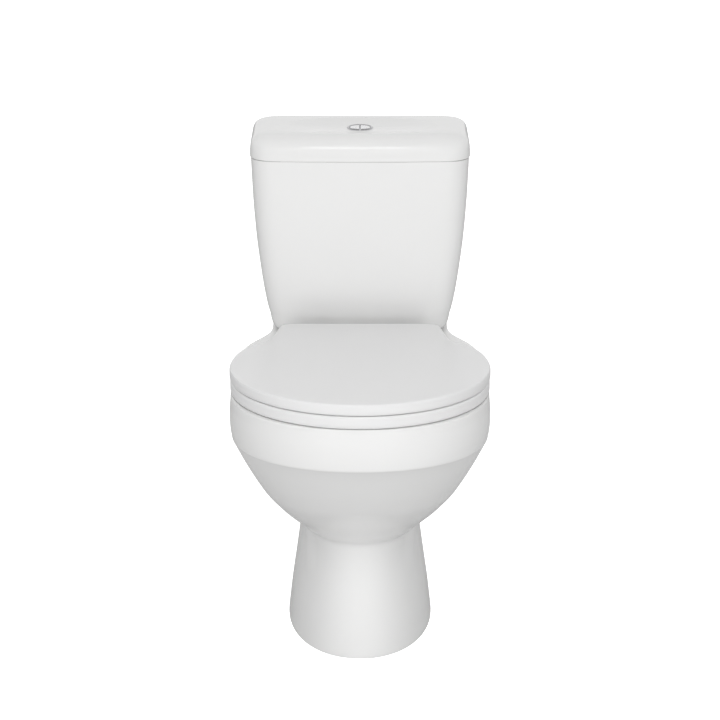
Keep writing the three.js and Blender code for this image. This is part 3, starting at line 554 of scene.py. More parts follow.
def surface(name, base, centre, roughness, gloss_spread, relief, mottle, marks, fixed):
    """Material whose colour, gloss and relief all vary over the surface.

    roughness is the gloss of the clean surface and gloss_spread how much duller its patches are.
    relief is (ripple scale, grain scale, grain share, height in metres) and mottle (scale, amount).
    marks is (scale, stretch, added roughness) or None, and fixed gives the shader's uniform inputs.
    """
    material = bpy.data.materials.new(name)
    material.use_nodes = True
    tree = material.node_tree
    shader = tree.nodes["Principled BSDF"]
    where = add(tree, "ShaderNodeTexCoord")
    placed = add(tree, "ShaderNodeMapping", None, Vector=where.outputs["Object"])
    placed.inputs["Location"].default_value = tuple(-c * MM for c in centre)
    vector = placed.outputs[0]
    uneven = group_node(tree, bpy.data.node_groups["Mottle"], vector, Scale=mottle[0], Amount=mottle[1])
    tint = add(tree, "ShaderNodeMix", {"data_type": "RGBA", "blend_type": "MULTIPLY"})
    tint.inputs[0].default_value = 1.0
    tint.inputs[6].default_value = (*base, 1)
    tree.links.new(uneven.outputs["Factor"], tint.inputs[7])
    tree.links.new(tint.outputs[2], shader.inputs["Base Color"])
    dull = maths(tree, "MULTIPLY_ADD", uneven.outputs["Mask"], gloss_spread)
    dull.node.inputs[2].default_value = roughness
    if marks:
        marks_group = bpy.data.node_groups["Handling Marks"]
        worn = group_node(tree, marks_group, vector, Scale=marks[0], Stretch=marks[1])
        scratched = maths(tree, "MULTIPLY_ADD", worn.outputs["Marks"], marks[2])
        tree.links.new(dull, scratched.node.inputs[2])
        dull = scratched
    tree.links.new(dull, shader.inputs["Roughness"])
    fine = group_node(
        tree,
        bpy.data.node_groups["Fine Relief"],
        vector,
        Ripple_Scale=relief[0],
        Grain_Scale=relief[1],
        Grain_Share=relief[2],
    )
    bump = add(tree, "ShaderNodeBump", None, Strength=1.0, Distance=relief[3], Height=fine.outputs[0])
    tree.links.new(bump.outputs[0], shader.inputs["Normal"])
    for key, value in fixed.items():
        shader.inputs[key].default_value = value
    return material


FINISHES = {}
PLATE_RELIEF, PLATE_MOTTLE, PLATE_MARKS = (40, 1500, 0.05, 0.00002), (40, 0.05), (420, 6, 0.1)
PLASTIC_RELIEF, PLASTIC_MARKS = (60, 1600, 0.3, 0.0001), (260, 5, 0.08)
# Material, centre of its pattern, roughness, gloss spread, relief, mottle, marks, and inputs that stay fixed.
LOOKS = {
    "china": (
        "glazed_china", (0, 0, 300), 0.13, 0.03, (22, 420, 0.04, 0.00006), (7, 0.012), None,
        {"Coat Weight": 0.25, "Coat Roughness": 0.06},
    ),
    "bisque": ("bare_china", (0, 0, 0), 0.72, 0.12, (60, 1400, 0.8, 0.0004), (18, 0.12), None, {}),
    "seat_plastic": (
        "seat_moulding", (0, -120, 420), 0.27, 0.05, (26, 700, 0.02, 0.00004), (8, 0.01), None, {},
    ),
    # Collar plate made darker for a painted dark outline around the buttons, satin plate made lighter for
    # painted bright button faces; their difference in gloss is real.
    "chrome": (
        "chrome_plate", (0, BUTTON_Y, TOTAL_HEIGHT), 0.09, 0.06, PLATE_RELIEF, PLATE_MOTTLE, PLATE_MARKS,
        {"Metallic": 1.0},
    ),
    "satin": (
        "satin_chrome_plate", (0, BUTTON_Y, TOTAL_HEIGHT), 0.16, 0.06, PLATE_RELIEF, PLATE_MOTTLE,
        PLATE_MARKS, {"Metallic": 1.0},
    ),
    "white_plastic": (
        "white_moulding", (0, VALVE_Y, 500), 0.42, 0.1, PLASTIC_RELIEF, (22, 0.05), PLASTIC_MARKS, {},
    ),
    "grey_plastic": (
        "grey_moulding", (0, VALVE_Y, 600), 0.45, 0.12, PLASTIC_RELIEF, (24, 0.1), PLASTIC_MARKS, {},
    ),
    "blue_plastic": (
        "blue_moulding", (0, VALVE_Y, 500), 0.4, 0.12, PLASTIC_RELIEF, (24, 0.12), PLASTIC_MARKS, {},
    ),
    "rubber": ("black_rubber", (0, VALVE_Y, 410), 0.68, 0.15, (120, 2600, 0.8, 0.0003), (30, 0.3), None, {}),
    "buffer": ("soft_buffer", (0, -120, 406), 0.5, 0.1, (90, 1800, 0.5, 0.0002), (30, 0.06), None, {}),
    "steel": (
        "zinc_plated_steel", (0, VALVE_Y, 400), 0.3, 0.15, (90, 2200, 0.3, 0.0002), (60, 0.2), (500, 7, 0.2),
        {"Metallic": 1.0},
    ),
}


def make_finishes(settings):
    mottle_group()
    skin_group()
    wear_group()
    for key, (name, *look) in LOOKS.items():
        FINISHES[key] = surface(name, getattr(settings, key), *look)


# ---- Pan ----
PAN_CENTRE = -20.0  # the lofts of pan and bowl turn around an upright line here
PAN_COLUMNS = 300
CORE_HALF = 60
CORE_EASE = 34
CORE_FOOT = 110  # the core's outline joins the pedestal's above this height
DECK_HALF = 133
DECK_REAR = 300
DECK_EASE = 56
DECK_UNDER = 345
DECK_PLATE = 386
OUTLET_HEIGHT = 180
CREASE_HEIGHT = 176  # bowl and pedestal meet here
# Outside of bowl and pedestal: height, half-width, front, widest line, rear.
BODY_LEVELS = (
    (0, 107, -129, 80, 262),
    (50, 101.5, -131, 72, 256),
    (100, 94.5, -133, 64, 248),
    (150, 88, -134, 54, 238),
    (176, 84.5, -134, 20, 228),
    (190, 92, -149, -30, 190),
    (220, 114, -191, -72, 140),
    (252, 135.5, -231, -100, 112),
    (283, 151, -260, -120, 100),
    (311, 165, -284, -130, 102),
    (330, 173.5, -300, -136, 112),
)
BAND_LEVELS = (
    (345, 180.5, -316, -138, 150),
    (367, 184, -318, -138, 172),
    (390, 182.5, -316.5, -138, 174),
)
RIM_LEVEL = (RIM_TOP, 181.5, -315.5, -138, 174)
BOWL_SHOULDER = (DECK_UNDER - 4, 178.5, -311.5, -138, 120)  # outline of the bowl just under the band
# Inside of the bowl, from the sump up to the underside of the rim.
BOWL_LEVELS = (
    (126, 36, -42, -4, 34),
    (150, 50, -84, -22, 44),
    (190, 76, -122, -46, 52),
    (220, 97, -166, -72, 58),
    (252, 120, -210, -98, 62),
    (283, 137, -242, -118, 68),
    (311, 150, -266, -128, 76),
    (340, 160, -288, -134, 88),
    (366, 162, -294, -136, 90),
)
RIM_MOUTH = (139, -271, -128, 77)
TRAP_PATH = (
    (0, 136), (46, 121), (92, 132), (124, 172), (144, 216), (178, 240), (212, 222), (238, 192),
    (268, OUTLET_HEIGHT), (306, OUTLET_HEIGHT),
)
TRAP_RADIUS = 33
SPIGOT_RADIUS, SPIGOT_BORE = 51, 43
FLUSH_WALL = 61
WALL_COLUMNS = 128


def pan_angles():
    """Directions in which the pan's columns run, even along the edge of its rim and deck."""
    coarse = np.linspace(-math.pi, math.pi, 2880, endpoint=False)
    away = band_reach(BAND_LEVELS[-1], coarse, 0)
    outline = np.stack([away * np.cos(coarse), PAN_CENTRE + away * np.sin(coarse)], axis=1)
    even = even_closed(outline, PAN_COLUMNS)
    return np.arctan2(even[:, 1] - PAN_CENTRE, even[:, 0])


def body_reach(row, angles, inset):
    """Outline of bowl or pedestal joined to the upright body behind it, as distances."""
    z, half, front, widest, rear = row
    outline = egg(half - inset, front + inset, widest, rear - inset, 2.1, 2.4)
    away = reach(outline, PAN_CENTRE, angles)
    if z < CORE_FOOT:
        return away
    core_rear = np.interp(z, (120, 260, 350), (226, 236, 262)) - inset
    core_half = CORE_HALF - inset + 4 * np.clip((z - 260) / 90, 0, 1)
    core = slab(core_half, PAN_CENTRE - 40, core_rear, 20, 26)
    return soft_max(away, reach(core, PAN_CENTRE, angles), CORE_EASE)


def band_reach(row, angles, inset, deck_inset=0.0):
    """Outline of the rim joined to the deck behind it, as distances."""
    _, half, front, widest, rear = row
    outline = egg(half - inset, front + inset, widest, rear - inset, 2.1, 4.6)
    deck = slab(DECK_HALF - inset - deck_inset, PAN_CENTRE - 40, DECK_REAR - inset - deck_inset, 20, 40)
    return soft_max(reach(outline, PAN_CENTRE, angles), reach(deck, PAN_CENTRE, angles), DECK_EASE)


def polar_row(away, angles, z):
    return around(away, angles, PAN_CENTRE, z)


def pan_surface(settings):
    """Outside, rim and bowl in one loft, from the middle of the foot over the rim and down to the sump."""
    angles = pan_angles()
    crease, band_edge, rim_edge, foot_edge = (
        size / MM for size in (settings.crease, settings.band_edge, settings.rim_edge, settings.foot_edge)
    )

    def body(row, ease):
        return polar_row(body_reach(row, angles, 0), angles, row[0]), ease

    def band(row, ease, inset=0, deck_inset=0):
        return polar_row(band_reach(row, angles, inset, deck_inset), angles, row[0]), ease

    def mouth(out, z, ease):
        half, front, widest, rear = RIM_MOUTH
        away = reach(egg(half + out, front - out, widest, rear + out), PAN_CENTRE, angles)
        return polar_row(away, angles, z), ease

    sections = [
        (pole(0, PAN_CENTRE, 0, PAN_COLUMNS), 1),
        body(BODY_LEVELS[0], foot_edge),
        *[body(row, crease if row[0] == CREASE_HEIGHT else 9) for row in BODY_LEVELS[1:]],
        (polar_row(body_reach((DECK_UNDER, *BOWL_SHOULDER[1:]), angles, 0), angles, BOWL_SHOULDER[0]), 5),
        band(BAND_LEVELS[0], band_edge * 0.6, deck_inset=8),
        *[band(row, band_edge) for row in BAND_LEVELS[1:]],
        band(RIM_LEVEL, rim_edge),
        band(RIM_LEVEL, rim_edge, inset=14),
        mouth(14, RIM_TOP, 3),
        mouth(0, RIM_TOP, 3.5),
        mouth(0, 371, 2.5),
    ]
    for row in reversed(BOWL_LEVELS):
        away = reach(egg(*row[1:]), PAN_CENTRE, angles)
        sections.append((polar_row(away, angles, row[0]), 3 if row[0] > 360 else 10))
    sections.append((pole(0, -4, 124, PAN_COLUMNS), 6))
    return grid_mesh("pan", loft(*zip(*sections), 3.3))


def upright(name, x, y, z0, z1, radius, top_radius=None, sides=64):
    """Upright cylinder or cone."""
    top_radius = radius if top_radius is None else top_radius
    return lathe(name, [(0, z0), (radius, z0), (top_radius, z1), (0, z1)], (x, y, 0), sides=sides)


def level_along(name, y0, y1, x, z, radius, sides=64):
    """Cylinder that runs from front to back."""
    return lathe(name, [(0, y0), (radius, y0), (radius, y1), (0, y1)], (x, 0, z), axis="Y", sides=sides)


def bowl_rows(wall, angles):
    """Outline of the bowl's wall with a little room behind it, at each of its heights."""
    inside = [(reach(egg(*outline), PAN_CENTRE, angles), z) for z, *outline in BOWL_LEVELS]
    return [polar_row(away + wall + 3, angles, z) for away, z in inside]


def flush_wall():
    return upright("flush_wall", 0, VALVE_Y, 307, RIM_TOP, FLUSH_WALL)


def pan_hollow(wall):
    """Open inside of pedestal and core, clear of the walls of bowl, trap, outlet and flush way."""
    angles = 2 * math.pi * np.arange(WALL_COLUMNS) / WALL_COLUMNS - math.pi
    levels = [(-4,) + BODY_LEVELS[0][1:], *BODY_LEVELS[:4]]
    rows = [polar_row(reach(egg(h - wall, f + wall, w, r - wall, 2.1, 2.4), PAN_CENTRE, angles), angles, z)
            for z, h, f, w, r in levels]
    hollow = grid_mesh("hollow", loft(rows, [4] * len(rows), 6))
    core = [level(slab(CORE_HALF - wall, 10, rear - wall, 12, 14, count=WALL_COLUMNS), z)
            for z, rear in ((110, 226), (260, 236), (330, 250))]
    hollow = joined(hollow, grid_mesh("core_hollow", np.array(core)))
    bowl = bowl_rows(wall, angles)
    bowl[0][:, 2] -= wall
    pockets = [upright("pocket_wall", side * FLOOR_SCREW_X, FLOOR_SCREW_Y, -6, 86, 25) for _, side in SIDES]
    hollow = cut(
        hollow,
        grid_mesh("bowl_wall", np.array(bowl)),
        tube("trap_wall", TRAP_PATH, TRAP_RADIUS + 9),
        level_along("spigot_wall", 200, 302, 0, OUTLET_HEIGHT, SPIGOT_RADIUS),
        flush_wall(),
        *pockets,
    )
    hollow.materials.clear()
    hollow.materials.append(FINISHES["bisque"])
    return hollow


def deck_recess(wall):
    """Open underside of the deck around the core."""
    rows = [
        level(slab(DECK_HALF - wall - 6, 74, DECK_REAR - wall - 8, 20, 34, count=256), DECK_UNDER - 20),
        level(slab(DECK_HALF - wall, 74, DECK_REAR - wall, 20, 34, count=256), DECK_PLATE),
    ]
    angles = 2 * math.pi * np.arange(WALL_COLUMNS) / WALL_COLUMNS - math.pi
    core = [level(slab(CORE_HALF, 0, rear, 20, 24, count=WALL_COLUMNS), z)
            for z, rear in ((260, 236), (402, 262))]
    return cut(
        grid_mesh("recess", np.array(rows)),
        grid_mesh("bowl_wall", np.array(bowl_rows(wall, angles))),
        flush_wall(),
        grid_mesh("core_wall", np.array(core)),
    )


class TOILET_OT_pan(bpy.types.Operator):
    """Pan: one china casting with its rim, bowl, trap, outlet spigot, deck and hollow foot"""

    bl_idname = "toilet.pan"
    bl_label = "Pan"

    def execute(self, context):
        settings = context.scene.toilet_pan
        wall = settings.wall / MM
        spigot = [
            (0, 200), (SPIGOT_RADIUS, 200), (SPIGOT_RADIUS, 298), (SPIGOT_RADIUS - 1, 301),
            (SPIGOT_RADIUS - 3.5, 302), (0, 302),
        ]
        pan = joined(
            pan_surface(settings),
            lathe("spigot", spigot, (0, 0, OUTLET_HEIGHT), axis="Y", softness=0.5, spacing=2, sides=96),
            *[upright("foot_lug", s * FLOOR_SCREW_X, FLOOR_SCREW_Y, 0, 22, 17, 16) for _, s in SIDES],
        )
        tools = [
            pan_hollow(wall),
            deck_recess(wall),
            tube("trap", TRAP_PATH, TRAP_RADIUS),
            level_along("spigot_bore", 262, 306, 0, OUTLET_HEIGHT, SPIGOT_BORE),
            upright("flush_shaft", 0, VALVE_Y, 318, RIM_TOP + 1, 34),
            upright("flush_seat", 0, VALVE_Y, 382, RIM_TOP + 1, 52),
            level_along("flush_run", 60, VALVE_Y, 0, 342, 23),
        ]
        for _, side in SIDES:
            x = side * FLOOR_SCREW_X
            niche = [(0, 22), (12, 22), (14, 24), (14, 66), (11, 74), (4, 78), (0, 78)]
            tools += [
                lathe("screw_niche", niche, (x + side * 2, FLOOR_SCREW_Y, 0), softness=1.2, spacing=2),
                upright("screw_hole", x, FLOOR_SCREW_Y, -1, 24, 3.5, sides=32),
                upright("bolt_hole", side * BOLT_X, VALVE_Y, 366, RIM_TOP + 1, 6.5, sides=32),
                upright("hinge_hole", side * HINGE_X, HINGE_Y, 326, RIM_TOP + 1, 7, sides=32),
                upright("hinge_room", side * HINGE_X, HINGE_Y + 4, 300, DECK_PLATE, 21),
                upright("supply_scallop", side * SUPPLY_X, SUPPLY_Y, 285, RIM_TOP + 1, 28),
            ]
        pan.materials.clear()
        pan.materials.append(FINISHES["china"])
        finished("pan_casting", cut(pan, *tools), FINISHES["china"], "pan_and_cistern", ["pan"])
        return {"FINISHED"}


# ---- Cistern and its lid ----
CISTERN_COLUMNS = 320
CISTERN_WALL = 9
CISTERN_FLOOR = 12
# Height, half-width, front.
CISTERN_LEVELS = (
    (408, 121, 160),
    (412, 128.5, 154),
    (419, 132.5, 151),
    (434, 136.5, 150),
    (452, 140.5, 149),
    (484, 146, 147),
    (545, 154, 144),
    (607, 159, 141),
    (674, 162, 139),
)
LID_HALF = 163.5
LID_FRONT = 137
# Height, inset of the sides and inset of the front of the lid's pillow edge.
LID_LEVELS = (
    (674.3, 1, 1),
    (676, 0, 0),
    (686, 0.2, 0.5),
    (695, 1, 3.5),
    (702, 3, 9),
    (707, 8, 17),
    (709.6, 16, 24),
    (711, 30, 36),
)
LID_WALL = 10
LID_ROOF = 694
BUTTON_HOLE = 18.0
DISH_Y = 232
DISH_ROWS = 40


class TOILET_OT_cistern(bpy.types.Operator):
    """Cistern: a tapered china tank with a bowed front, open at the top"""

    bl_idname = "toilet.cistern"
    bl_label = "Cistern"

    def execute(self, context):
        settings = context.scene.toilet_cistern
        corner, bow = settings.corner / MM, settings.bow / MM
        centre_y = (LID_FRONT + WALL) / 2

        def outline(half, front, inset, z):
            radii = corner - inset / 2, 14 - inset / 2
            flat = slab(half - inset, front + inset, WALL - inset, *radii, bow, CISTERN_COLUMNS)
            return level(softened(flat, 3), z)

        floor = CISTERN_UNDER + CISTERN_FLOOR
        lower_edge = settings.lower_edge / MM * 0.5
        rim = CISTERN_LEVELS[-1]
        sections = [
            (pole(0, centre_y, CISTERN_UNDER, CISTERN_COLUMNS), 1),
            *[(outline(*at, 0, z), lower_edge if z < 420 else 16) for z, *at in CISTERN_LEVELS[:-1]],
            (outline(*rim[1:], 0, rim[0]), 0.7),
            (outline(*rim[1:], CISTERN_WALL, CISTERN_TOP), 0.9),
            *[(outline(*at, CISTERN_WALL, z), 12) for z, *at in reversed(CISTERN_LEVELS[3:-1])],
            (outline(128, 156, CISTERN_WALL, floor), 3),
            (pole(0, centre_y, floor, CISTERN_COLUMNS), 1),
        ]
        shell = grid_mesh("cistern", loft(*zip(*sections), 3.4))
        holes = [upright("flush_hole", 0, VALVE_Y, CISTERN_UNDER - 1, floor + 1, 32)]
        for _, side in SIDES:
            holes += [
                upright("bolt_hole", side * BOLT_X, VALVE_Y, CISTERN_UNDER - 1, floor + 1, 5.5, sides=32),
                upright("supply_hole", side * SUPPLY_X, SUPPLY_Y, CISTERN_UNDER - 1, floor + 1, 11, sides=48),
                level_along(
                    "screw_hole", WALL - 12, WALL + 1, side * WALL_SCREW_X, WALL_SCREW_Z, 4, sides=32
                ),
            ]
        shell.materials.append(FINISHES["china"])
        tank = cut(shell, *holes)
        finished("cistern_tank", tank, FINISHES["china"], "pan_and_cistern", ["cistern"])
        return {"FINISHED"}


class TOILET_OT_cistern_lid(bpy.types.Operator):
    """Cistern lid: a pillow-edged china cover with an oval dish around the buttons"""

    bl_idname = "toilet.cistern_lid"
    bl_label = "Cistern Lid"

    def execute(self, context):
        settings = context.scene.toilet_cistern
        bow = settings.bow / MM
        depth, wide, long = (v / MM for v in (settings.dish_depth, settings.dish_width, settings.dish_reach))

        def outline(z, side, front, back=None):
            rear = WALL - (front / 3 if back is None else back)
            radii = 34 - front / 2, 16 - front / 4
            flat = slab(LID_HALF - side, LID_FRONT + front, rear, *radii, bow, CISTERN_COLUMNS)
            return level(softened(flat, 3), z)

        def round_row(radius, z):
            edge = outline(z, 36, 36)
            turn = np.arctan2(edge[:, 1] - BUTTON_Y, edge[:, 0])
            return around(radius, turn, BUTTON_Y, z)

        def sunk(points):
            """Points lowered into the dish, an even hollow that is deepest around the buttons."""
            lowered = points.copy()
            away = np.hypot(points[:, 0] / wide, (points[:, 1] - DISH_Y) / long)
            lowered[:, 2] -= depth * (1 - np.minimum(away, 1) ** 1.6)
            return lowered

        # Underside: roof, lip that drops into the tank, groove over the tank's wall.
        underside = (
            (30, LID_ROOF, 4), (18.5, 690, 2), (18.5, 667, 0.8), (12.5, 667, 0.8), (12.5, 684, 0.8),
            (LID_WALL, 684, 0.8), (LID_WALL, LID_LEVELS[0][0], 0.8),
        )
        sections = [
            (round_row(BUTTON_HOLE, LID_ROOF), 0.5),
            (round_row(26, LID_ROOF), 3),
            *[(outline(z, inset, inset, inset - 1.5), ease) for inset, z, ease in underside],
            *[(outline(z, side, front), 0.5 if z < 677 else 5) for z, side, front in LID_LEVELS],
        ]
        edge, inner = outline(TOTAL_HEIGHT, 30, 36), round_row(BUTTON_HOLE, TOTAL_HEIGHT)
        for share in np.linspace(0, 1, DISH_ROWS + 1)[1:]:
            sections.append((sunk(edge * (1 - share) + inner * share), 2.5 if share < 1 else 0.4))
        shell = grid_mesh("cistern_lid", loft(*zip(*sections), 2.2, ring=True), ring=True)
        finished("cistern_cover", shell, FINISHES["china"], "pan_and_cistern", ["cistern_lid"])
        return {"FINISHED"}


# ---- Seat and lid ----
SEAT_COLUMNS = 360
SEAT_WIDEST = -121
SEAT_FRONT = -317
SEAT_HALF = 184
SEAT_REAR = 101
SEAT_HOLE = {"half": 104, "y": -128, "reach": 136}
POST_ROOM = {"inner": 51, "outer": 105, "front": 76}


def seat_outline(neck):
    """Outline of the lid: a round front, drawn in at the shoulders to a straight neck."""
    turn = np.linspace(-math.pi / 2, 0, 60)
    ahead = SEAT_WIDEST - SEAT_FRONT
    front = np.stack([SEAT_HALF * np.cos(turn), SEAT_WIDEST + ahead * np.sin(turn)], axis=1)
    shoulder = [
        (183.6, -104), (181, -84), (177, -65), (171, -44), (164, -27), (157, -16.5), (147, -9), (138, -2.5),
        (132.5, 6), (129, 19), (125.5, 39), (121, 70), (neck + 0.6, 90), (neck - 1.6, 98),
        (neck - 9, SEAT_REAR),
    ]
    right = np.vstack([front, shoulder])
    left = right[::-1] * (-1, 1)
    loop = np.vstack([right, left[:-1]])
    return even_closed(softened(even_closed(loop, 1200), 9), SEAT_COLUMNS)


def hole_row(outline, inset, z):
    """Row around the seat's opening, with its points facing those of an outline."""
    turn = np.arctan2(outline[:, 1] - SEAT_HOLE["y"], outline[:, 0])
    across, ahead = SEAT_HOLE["half"] - inset, SEAT_HOLE["reach"] - inset
    away = across * ahead / np.hypot(ahead * np.cos(turn), across * np.sin(turn))
    return around(away, turn, SEAT_HOLE["y"], z)


def lug(side, x0, x1, arm_front, arm_low, arm_high):
    """Hinge lug: a barrel around the pin with an arm that runs forward into the moulding."""
    turn = np.radians(np.arange(-90, 91, 6))
    arc = [(HINGE_Y + 8 * math.cos(a), HINGE_Z + 8 * math.sin(a)) for a in turn]
    outline = [
        (arm_front, arm_low), (HINGE_Y - 10, arm_low), *arc, (HINGE_Y - 8, arm_high), (arm_front, arm_high)
    ]
    outline = softened(even_closed(np.array(outline), 120), 1.2)
    a, b = sorted((side * x0, side * x1))
    return prism_x("hinge_lug", outline, a, b, 0.6)


def pin_bore(radius=3.3):
    """Bore for both hinge pins."""
    profile = [(0, -110), (radius, -110), (radius, 110), (0, 110)]
    return lathe("pin_bore", profile, (0, HINGE_Y, HINGE_Z), axis="X", sides=48)


def post_rooms(z0, z1):
    """Slots around the hinge posts."""
    rooms = []
    for _, side in SIDES:
        a, b = sorted((side * POST_ROOM["inner"], side * POST_ROOM["outer"]))
        rooms.append(block("post_room", a, b, POST_ROOM["front"], SEAT_REAR + 9, z0, z1, 1.5))
    return rooms


BUFFERS = ("front_left", "front_right", "rear_left", "rear_right")


class TOILET_OT_seat(bpy.types.Operator):
    """Seat ring: a moulded ring, hollow below, with bosses for its buffers and lugs for its hinges"""

    bl_idname = "toilet.seat"
    bl_label = "Seat"

    def execute(self, context):
        settings = context.scene.toilet_seat
        ease, stock = settings.edge / MM, settings.stock / MM
        outline = inward(seat_outline(settings.neck / MM), 1)
        low, top = SEAT_UNDER, SEAT_TOP
        roof = top - stock

        def outer(inset, z):
            return level(inward(outline, inset), z)

        def roofed(row):
            """Row of the channel's roof, brought down to a solid neck near the hinges."""
            share = np.clip((row[:, 1] - 46) / 18, 0, 1)[:, None]
            row[:, 2:] = row[:, 2:] * (1 - share) + (low + 0.2) * share
            return row

        edge, hole = outer(7, top), hole_row(outline, -20, top)
        rows = [
            roofed(outer(10, roof)), outer(9, low + 0.1), outer(1.6, low), outer(0, low + 3),
            outer(0, top - 3.5), outer(1.4, top - 0.5), edge, edge * 0.5 + hole * 0.5, hole,
            hole_row(outline, -9, top - 0.7),
            hole_row(outline, -1.5, top - 3.2), hole_row(outline, 0, top - 7), hole_row(outline, 0, low + 3),
            hole_row(outline, -1.6, low), hole_row(outline, -8, low + 0.1),
            roofed(hole_row(outline, -9.5, roof)),
        ]
        soft = [1.2, 0.8, ease * 0.7, ease, ease, ease, ease, 3, 4, 3, 2, ease, ease, ease * 0.7, 0.8, 1.2]
        ring = grid_mesh("seat_ring", loft(rows, soft, 1.9, ring=True), ring=True)
        pads = [middle(f"seat_buffer_{place}") for place in BUFFERS]
        bosses = [upright("buffer_boss", at.x, at.y, low + 4, top - 1, 12) for at in pads]
        ring = cut(ring, *post_rooms(low - 1, top + 1), solver="EXACT")
        lugs = [lug(s, 53, 63, POST_ROOM["front"] - 2, 415, top - 0.5) for _, s in SIDES]
        ring = joined(ring, *bosses, *lugs, solver="EXACT")
        ring = cut(ring, pin_bore(), solver="EXACT")
        finished("seat_moulding", ring, FINISHES["seat_plastic"], "seat", ["seat_ring"])
        return {"FINISHED"}


class TOILET_OT_seat_lid(bpy.types.Operator):
    """Seat lid: a shallow moulded cover with a rounded edge and a hollow underside"""

    bl_idname = "toilet.seat_lid"
    bl_label = "Seat Lid"

    def execute(self, context):
        settings = context.scene.toilet_seat
        ease, stock, crown = settings.edge / MM, settings.stock / MM, settings.crown / MM
        outline = seat_outline(settings.neck / MM)
        centre = np.array([0, -100])

        def outer(inset, z):
            return level(inward(outline, inset), z)

        def shrunk(share, z):
            return level(centre + (inward(outline, 9) - centre) * share, z)

        roof = LID_TOP - stock
        rows = [
            pole(*centre, roof, SEAT_COLUMNS), shrunk(0.5, roof), shrunk(0.97, roof), outer(5.6, roof - 1.2),
            outer(5, LID_UNDER), outer(1.4, LID_UNDER), outer(0.1, LID_UNDER + 2), outer(0, LID_TOP - 3.4),
            outer(0.8, LID_TOP - 0.9), outer(3.2, LID_TOP), outer(9, LID_TOP),
            shrunk(0.9, LID_TOP + crown * 0.3), shrunk(0.5, LID_TOP + crown * 0.8),
            pole(*centre, LID_TOP + crown, SEAT_COLUMNS),
        ]
        soft = [4, 6, 1.5, 1, 0.8, 0.9, ease, ease, ease * 0.8, ease * 0.8, 3, 8, 10, 8]
        lid = grid_mesh("seat_lid", loft(rows, soft, 2.2))
        lid = cut(lid, *post_rooms(LID_UNDER - 2, roof), solver="EXACT")
        lugs = [lug(s, 93, 103, POST_ROOM["front"] - 4, LID_UNDER + 1, LID_TOP - 3) for _, s in SIDES]
        pads = [middle(f"lid_buffer_{name}") for name, _ in SIDES]
        bosses = [upright("buffer_boss", at.x, at.y, 430, LID_TOP - 2, 10) for at in pads]
        lid = cut(joined(lid, *lugs, *bosses, solver="EXACT"), pin_bore(), solver="EXACT")
        finished("lid_moulding", lid, FINISHES["seat_plastic"], "lid", ["seat_lid"])
        return {"FINISHED"}


# ---- Hinges ----
class TOILET_OT_hinges(bpy.types.Operator):
    """Hinge posts: chromed pillars with a round base and a barrel around the pin"""

    bl_idname = "toilet.hinges"
    bl_label = "Hinges"

    def execute(self, context):
        base = RIM_TOP + 0.3
        pillar = [
            (0, base), (16.4, base), (17, base + 1.4), (16.2, base + 3.2), (12.5, base + 4.8),
            (9.4, base + 8), (8.2, base + 13), (8, HINGE_Z), (0, HINGE_Z),
        ]
        barrel = [(0, -13), (7.2, -13), (8.5, -11.6), (8.5, 11.6), (7.2, 13), (0, 13)]
        for name, side in SIDES:
            x = side * HINGE_X
            post = joined(
                lathe("pillar", pillar, (x, HINGE_Y, 0), softness=0.7, spacing=0.9, sides=72),
                lathe("barrel", barrel, (x, HINGE_Y, HINGE_Z), axis="X", softness=0.4, spacing=0.7, sides=72),
            )
            bore = [(0, x - 14), (3.3, x - 14), (3.3, x + 14), (0, x + 14)]
            post = cut(
                post,
                lathe("pin_bore", bore, (0, HINGE_Y, HINGE_Z), axis="X", sides=48),
                upright("stud_bore", x, HINGE_Y, RIM_TOP - 1, HINGE_Z - 7, 4.3, sides=48),
            )
            finished(
                f"hinge_pillar_{name}", post, FINISHES["satin"], "pan_and_cistern",
                [f"hinge_post_{name}"],
            )
            pin = [
                (0, x - 25.5), (2.4, x - 25.5), (3, x - 24.7), (3, x + 24.7), (2.4, x + 25.5), (0, x + 25.5)
            ]
            finished(
                f"hinge_spindle_{name}",
                lathe("pin", pin, (0, HINGE_Y, HINGE_Z), axis="X", softness=0.2, spacing=0.8, sides=40),
                FINISHES["steel"], "pan_and_cistern", [f"hinge_pin_{name}"],
            )
        return {"FINISHED"}


# ---- Buttons ----
HALF_COLUMNS = 160


